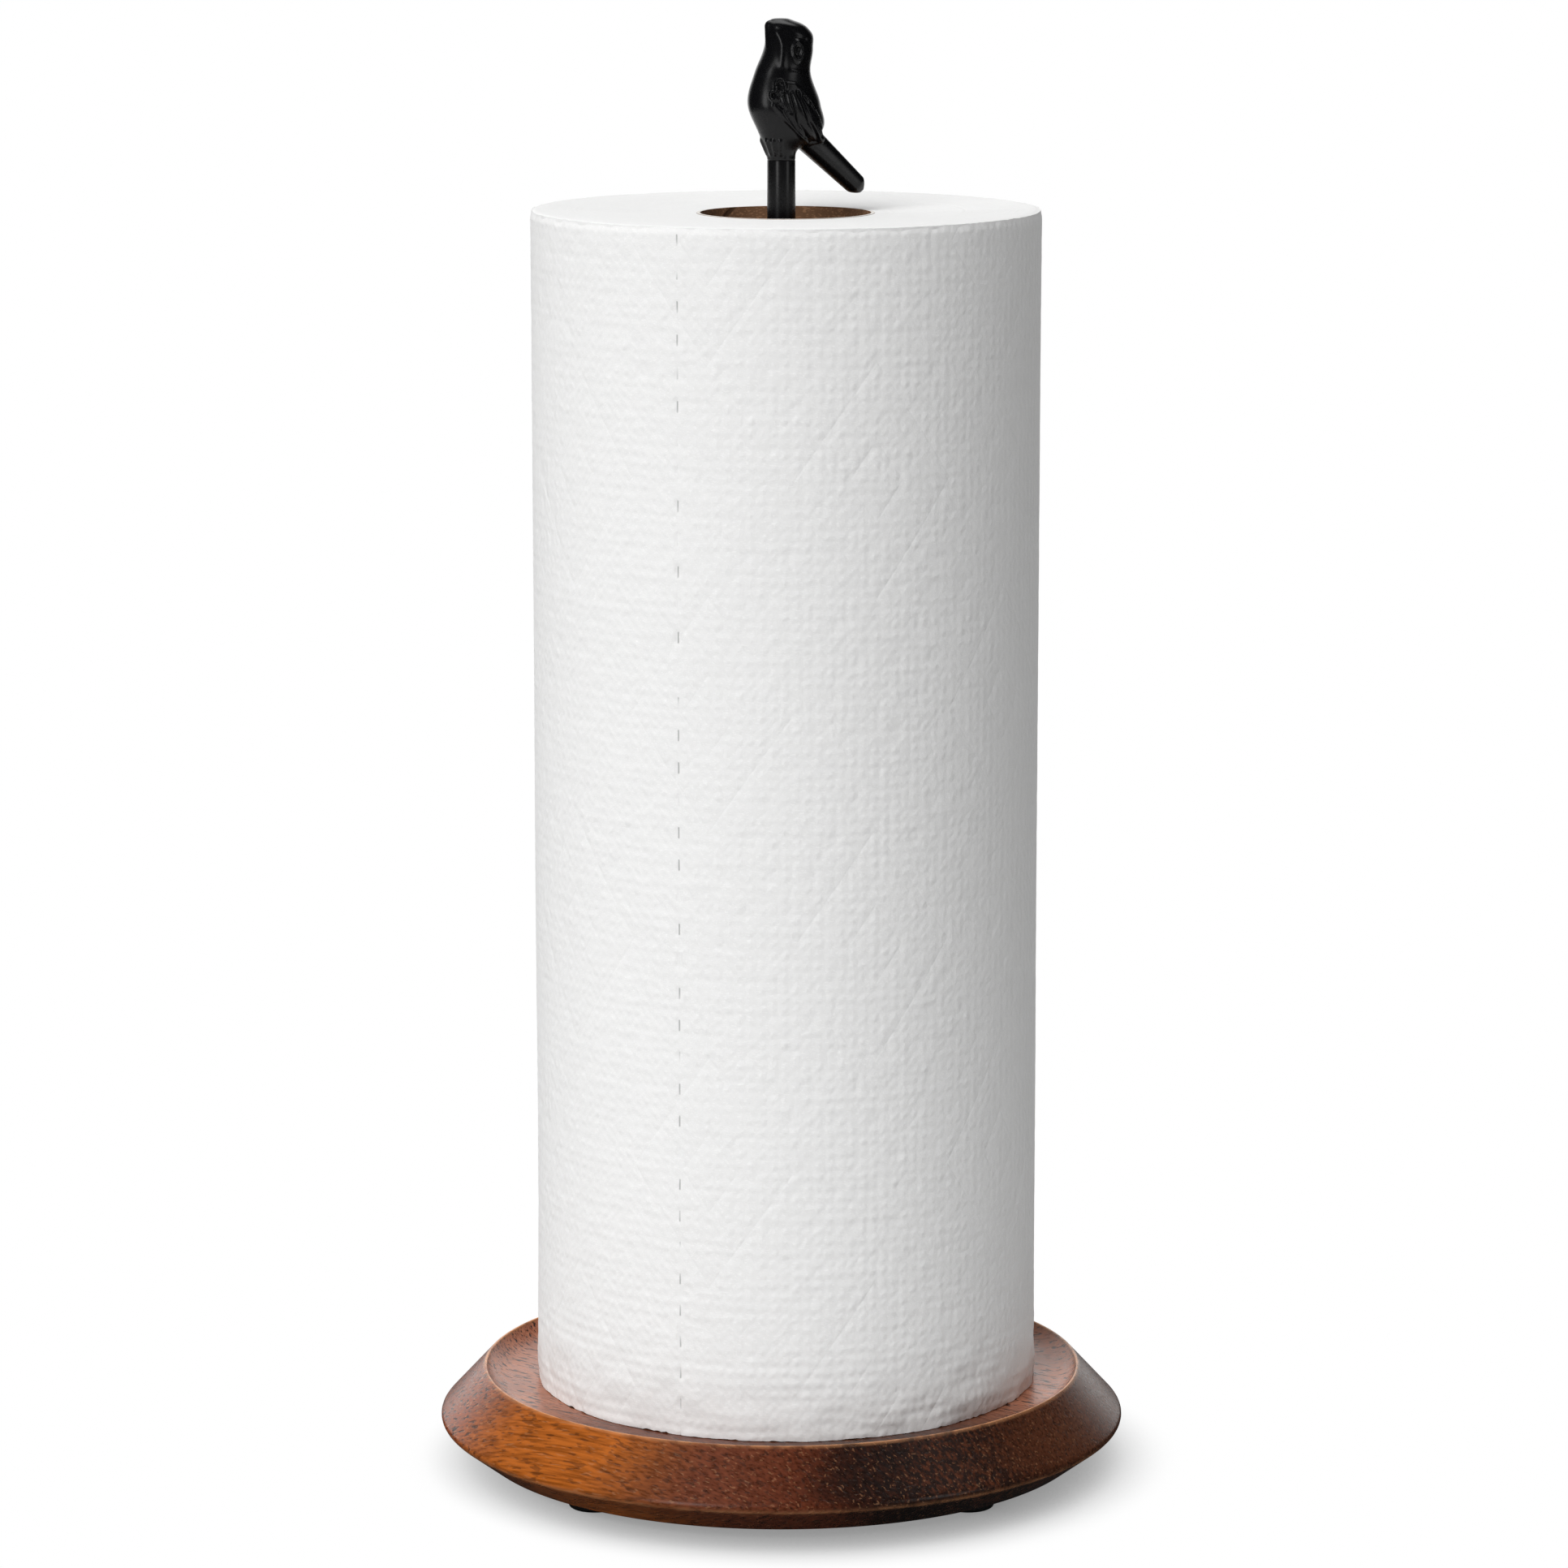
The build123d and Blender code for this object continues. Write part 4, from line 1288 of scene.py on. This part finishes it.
def wrapped_sheet(name, roll, start, end):
    """One sheet of embossed paper round the roll: a closed shell with wandering cut edges."""
    foot = roll_low.z - FOOT_DROP
    height = roll_high.z + roll.edge_rise - TOP_DROP - foot
    columns = round((end - start) / roll.cell)
    rows = round(height / roll.cell)
    grid = np.linspace(start, end, columns + 1), np.linspace(0, height, rows + 1)
    arc, level = (part.ravel() for part in np.meshgrid(*grid, indexing="ij"))
    mean_radius = roll_radius - roll.step / 2
    turn = arc / (2 * pi * mean_radius)
    angle = roll.loose_end - arc / mean_radius
    surface = roll_radius - roll.step * turn - SKIN_ROOM
    place = np.stack([arc, level], axis=1)
    waves = WAVE_DEPTH * (soft_noise(place / WAVE_SIZE, 1) - 1)
    crinkle = CRINKLE_DEPTH * (soft_noise(place / CRINKLE_SIZE, 6) - 1)
    ripple_phase = 2 * pi * level / RIPPLE_PITCH + 2.5 * soft_noise(place / RIPPLE_SWAY_SIZE, 8)
    ripples = RIPPLE_DEPTH * (np.sin(ripple_phase) - 1) * np.exp(-level / RIPPLE_REACH)
    crumple = 0.5 + 0.5 * soft_noise(place / CRUMPLE_SIZE, 9)
    flare = roll.foot_flare * crumple * ridge(level, FLARE_REACH)
    relief = crinkle + ripples + flare - roll.press_depth * pressed(arc, level)
    top_gap = height - level
    top_tuck = TOP_TUCK[0] * (1 - smooth_step(top_gap, 0, TOP_TUCK[1]))
    tuck = top_tuck + BOTTOM_TUCK[0] * (1 - smooth_step(level, 0, BOTTOM_TUCK[1]))
    tears = np.minimum(arc - start if start > 0 else np.full_like(arc, 1.0), end - arc)
    dashes = smooth_step(np.abs((level / DASH_PITCH) % 1 - 0.5), 0.26, 0.36)
    rhythm = soft_noise(np.stack([0 * level, level / SLIT_RHYTHM], axis=1), 15)
    openness = np.clip(0.55 + 0.9 * rhythm, 0.15, 1)
    slit = SLIT_DEPTH * (1 - smooth_step(tears, 0, SLIT_REACH)) * dashes * openness
    radius = surface + waves + relief - tuck - slit
    wander = soft_noise(place / FINE_WANDER_SIZE, 12) + 0.7 * soft_noise(place / BROAD_WANDER_SIZE, 13)
    low = roll.ragged * np.clip(0.08 + 0.5 * wander, 0, 1) * (1 - smooth_step(level, 0, RAGGED_REACH))
    high = 0.25 * roll.ragged * wander * (1 - smooth_step(top_gap, 0, RAGGED_REACH))
    z = foot + level + low + high
    points, flat = [on_roll(radius, angle, z)], [place]
    inner = surface - roll.sheet_thickness
    for edge in (slice(0, None, rows + 1), slice(rows, None, rows + 1)):
        points.append(on_roll(inner[edge], angle[edge], z[edge]))
        flat.append(place[edge])
    return sheet_mesh(name, np.concatenate(points), np.concatenate(flat), columns, rows)


def sheet_mesh(name, points, flat, columns, rows):
    """A closed shell that keeps its flat pattern as UV.

    Its points are the front, column by column, then the lower and the upper edge of the back.
    """
    across = rows + 1
    bottom_row = np.arange(columns + 1) * across
    top_row = bottom_row + rows
    back_low = (columns + 1) * across + np.arange(columns + 1)
    back_high = back_low + columns + 1
    i, j = np.meshgrid(np.arange(columns), np.arange(rows), indexing="ij")
    here = (i * across + j).ravel()
    faces = np.stack([here, here + 1, here + across + 1, here + across], axis=1).tolist()
    for near, far in ((top_row, back_high), (back_high, back_low), (back_low, bottom_row)):
        faces += np.stack([near[:-1], far[:-1], far[1:], near[1:]], axis=1).tolist()
    first = list(range(across))
    last = [columns * across + k for k in first]
    faces.append([int(back_low[0]), int(back_high[0])] + first[::-1])
    faces.append([int(back_high[-1]), int(back_low[-1])] + last)
    mesh = bpy.data.meshes.new(name)
    mesh.from_pydata(points.tolist(), [], faces)
    corners = np.zeros(len(mesh.loops), dtype=np.int32)
    mesh.loops.foreach_get("vertex_index", corners)
    mesh.uv_layers.new(name="sheet").data.foreach_set("uv", flat[corners].ravel())
    return mesh


# Camera sensor in millimetres, and how far the camera sees
SENSOR_WIDTH = 36
SIGHT = 200

# Floor: tones of its contact shadow, how far that reaches, the way it leans, and the floor's corners
SHADOW_TONES = ((0.0, (0.2, 0.2, 0.2)), (0.5, (0.74, 0.74, 0.74)), (0.86, (1.0, 1.0, 1.0)))
SHADOW_REACH = 21 * MM
SHADOW_LEAN = (-0.32, 0.05, 1.0)
FLOOR_SIDES = 96

# Middle of the shining part of the wall behind, and room between the panels and the floor
SHINE_DIRECTION = (-0.1, 0.995, 0.0)
FLOOR_GAP = 10 * MM


class HOLDER_OT_stage(bpy.types.Operator):
    """Lay the pale floor, light it softly and set the camera"""

    bl_idname = "towel_holder.stage"
    bl_label = "Stage"

    def execute(self, context):
        stage = context.scene.holder_stage
        self.lay_floor(context, stage)
        self.hang_lights(context, stage)
        self.surround(context, stage)
        data = bpy.data.cameras.new("camera")
        data.lens = stage.lens
        data.sensor_width = SENSOR_WIDTH
        data.clip_end = SIGHT
        camera = bpy.data.objects.new("camera", data)
        camera.location = (stage.camera_side, -stage.camera_distance, stage.camera_height)
        camera.rotation_euler = (pi / 2 - stage.camera_pitch, 0, 0)
        context.scene.collection.objects.link(camera)
        context.scene.camera = camera
        context.scene.view_settings.view_transform = "Standard"
        return {"FINISHED"}

    def lay_floor(self, context, stage):
        """A wide pale disc that shows a soft contact shadow and throws back little light."""
        turns = np.linspace(0, 2 * pi, FLOOR_SIDES, endpoint=False)
        corners = [(stage.floor_radius * cos(t), stage.floor_radius * sin(t), 0) for t in turns]
        mesh = bpy.data.meshes.new("floor")
        mesh.from_pydata(corners, [], [tuple(range(FLOOR_SIDES))])
        material = bpy.data.materials.new("floor_white")
        material.use_nodes = True
        material.node_tree.nodes.clear()
        bench = Bench(material.node_tree)
        lean = bench.vector("NORMALIZE", SHADOW_LEAN)
        contact = bench.node(
            "ShaderNodeAmbientOcclusion", {"samples": 16}, Distance=SHADOW_REACH, Normal=lean
        ).outputs["AO"]
        shadow = bench.ramp(contact, SHADOW_TONES)
        seen = bench.node("ShaderNodeEmission", Color=shadow, Strength=1.0).outputs[0]
        felt = bench.node("ShaderNodeBsdfDiffuse", Color=(0.5, 0.5, 0.5, 1)).outputs[0]
        place = bench.node("ShaderNodeTexCoord").outputs["Object"]
        far = bench.times(bench.band(bench.measure("LENGTH", place), 0.2, 0.5), self.shining(bench, place))
        level = bench.band(far, 0.0, 1.0, 0.02, stage.sheen)
        mirrored = bench.node("ShaderNodeEmission", Color=(1, 1, 1, 1), Strength=level).outputs[0]
        path = bench.node("ShaderNodeLightPath").outputs
        under = bench.operate("ShaderNodeMixShader", None, path["Is Glossy Ray"], felt, mirrored)[0]
        surface = bench.operate("ShaderNodeMixShader", None, path["Is Camera Ray"], under, seen)[0]
        bench.node("ShaderNodeOutputMaterial", Surface=surface)
        mesh.materials.append(material)
        floor = bpy.data.objects.new("floor", mesh)
        context.scene.collection.objects.link(floor)

    def shining(self, bench, aim):
        """How much of the wall behind shines in gloss towards a direction, from 0 to 1."""
        share = bench.measure("DOT_PRODUCT", bench.vector("NORMALIZE", aim), SHINE_DIRECTION)
        return bench.band(share, 0.6, 0.95)

    def aimed(self, context, name, lamp, azimuth, height):
        """A lamp that shines at the holder from an azimuth and height in degrees."""
        light = bpy.data.objects.new(name, lamp)
        light.rotation_euler = (pi / 2 - radians(height), 0, radians(azimuth))
        context.scene.collection.objects.link(light)
        return light

    def hang_lights(self, context, stage):
        """Soft key from the front left, panels that shine in gloss and a low fill."""
        for name, strength, azimuth, height, spread in (
            ("key", stage.key_strength, -31, 45, 44),
            ("rim", stage.rim_strength, -100, 20, 55),
        ):
            lamp = bpy.data.lights.new(name, "SUN")
            lamp.energy = strength
            lamp.angle = radians(spread)
            light = self.aimed(context, name, lamp, azimuth, height)
            light.visible_glossy = False
        for name, glow, azimuth, distance, width, height in (
            ("panel_left", stage.panel_glow, -33, 1.2, 0.3, 0.9),
            ("panel_right", 0.4 * stage.panel_glow, 53, 1.2, 0.35, 0.9),
            ("fill", stage.fill, 45, 0.21, 0.3, 0.05),
        ):
            lamp = bpy.data.lights.new(name, "AREA")
            lamp.shape = "RECTANGLE"
            lamp.size = width
            lamp.size_y = height
            lamp.energy = glow * pi * width * height
            panel = self.aimed(context, name, lamp, azimuth, 0)
            turn = radians(azimuth)
            panel.location = (distance * sin(turn), -distance * cos(turn), height / 2 + FLOOR_GAP)
            panel.visible_camera = False
            panel.visible_diffuse = name == "fill"
            panel.visible_glossy = name != "fill"

    def surround(self, context, stage):
        """A pale wall behind and a soft ceiling, brighter where gloss mirrors them."""
        world = bpy.data.worlds.new("surround")
        world.use_nodes = True
        world.node_tree.nodes.clear()
        bench = Bench(world.node_tree)
        aim = bench.node("ShaderNodeTexCoord").outputs["Generated"]
        parts = bench.parts(aim)
        wall = bench.band(parts["Y"], -0.1, 0.5, 0.0, stage.backdrop)
        ceiling = bench.band(parts["Z"], 0.3, 1.0, 0.0, stage.overhead)
        felt = bench.math("ADD", wall, ceiling)
        behind = bench.band(parts["Y"], -0.15, 0.15, 0.0, 3.0)
        above = bench.times(bench.band(parts["Z"], 0.75, 0.92), behind)
        mirrored = bench.math("MULTIPLY_ADD", self.shining(bench, aim), stage.sheen, above)
        path = bench.node("ShaderNodeLightPath").outputs
        gloss = bench.times(path["Is Glossy Ray"], bench.math("SUBTRACT", mirrored, felt))
        strength = bench.math("MAXIMUM", path["Is Camera Ray"], bench.math("ADD", felt, gloss))
        glow = bench.node("ShaderNodeBackground", Color=(1, 1, 1, 1), Strength=strength).outputs[0]
        bench.node("ShaderNodeOutputWorld", Surface=glow)
        context.scene.world = world


class HOLDER_PT_panel(bpy.types.Panel):
    """Lists the pieces of the towel holder"""

    bl_label = "Towel holder"
    bl_idname = "HOLDER_PT_panel"
    bl_space_type = "VIEW_3D"
    bl_region_type = "UI"
    bl_category = "Towel holder"

    def draw(self, context):
        for operator in OPERATORS:
            self.layout.operator(operator.bl_idname)
        for name in SETTINGS:
            group = getattr(context.scene, name)
            box = self.layout.box()
            for setting in group.__annotations__:
                box.prop(group, setting)


OPERATORS = (
    HOLDER_OT_base,
    HOLDER_OT_pole,
    HOLDER_OT_fasteners,
    HOLDER_OT_feet,
    HOLDER_OT_bird,
    HOLDER_OT_core,
    HOLDER_OT_roll,
    HOLDER_OT_stage,
)
SETTINGS = {
    "holder_roll": RollSettings,
    "holder_base": BaseSettings,
    "holder_bird": BirdSettings,
    "holder_stage": StageSettings,
}


def register():
    """Add the settings, operators and panel."""
    for name, group in SETTINGS.items():
        bpy.utils.register_class(group)
        setattr(bpy.types.Scene, name, PointerProperty(type=group))
    for entry in (*OPERATORS, HOLDER_PT_panel):
        bpy.utils.register_class(entry)


def unregister():
    """Take the settings, operators and panel away again."""
    for entry in (HOLDER_PT_panel, *reversed(OPERATORS)):
        bpy.utils.unregister_class(entry)
    for name, group in SETTINGS.items():
        delattr(bpy.types.Scene, name)
        bpy.utils.unregister_class(group)


def main():
    """Build every piece and the stage."""
    register()
    bpy.ops.towel_holder.base()
    bpy.ops.towel_holder.pole()
    bpy.ops.towel_holder.fasteners()
    bpy.ops.towel_holder.feet()
    bpy.ops.towel_holder.bird()
    bpy.ops.towel_holder.core()
    bpy.ops.towel_holder.roll()
    bpy.ops.towel_holder.stage()


if __name__ == "__main__":
    main()
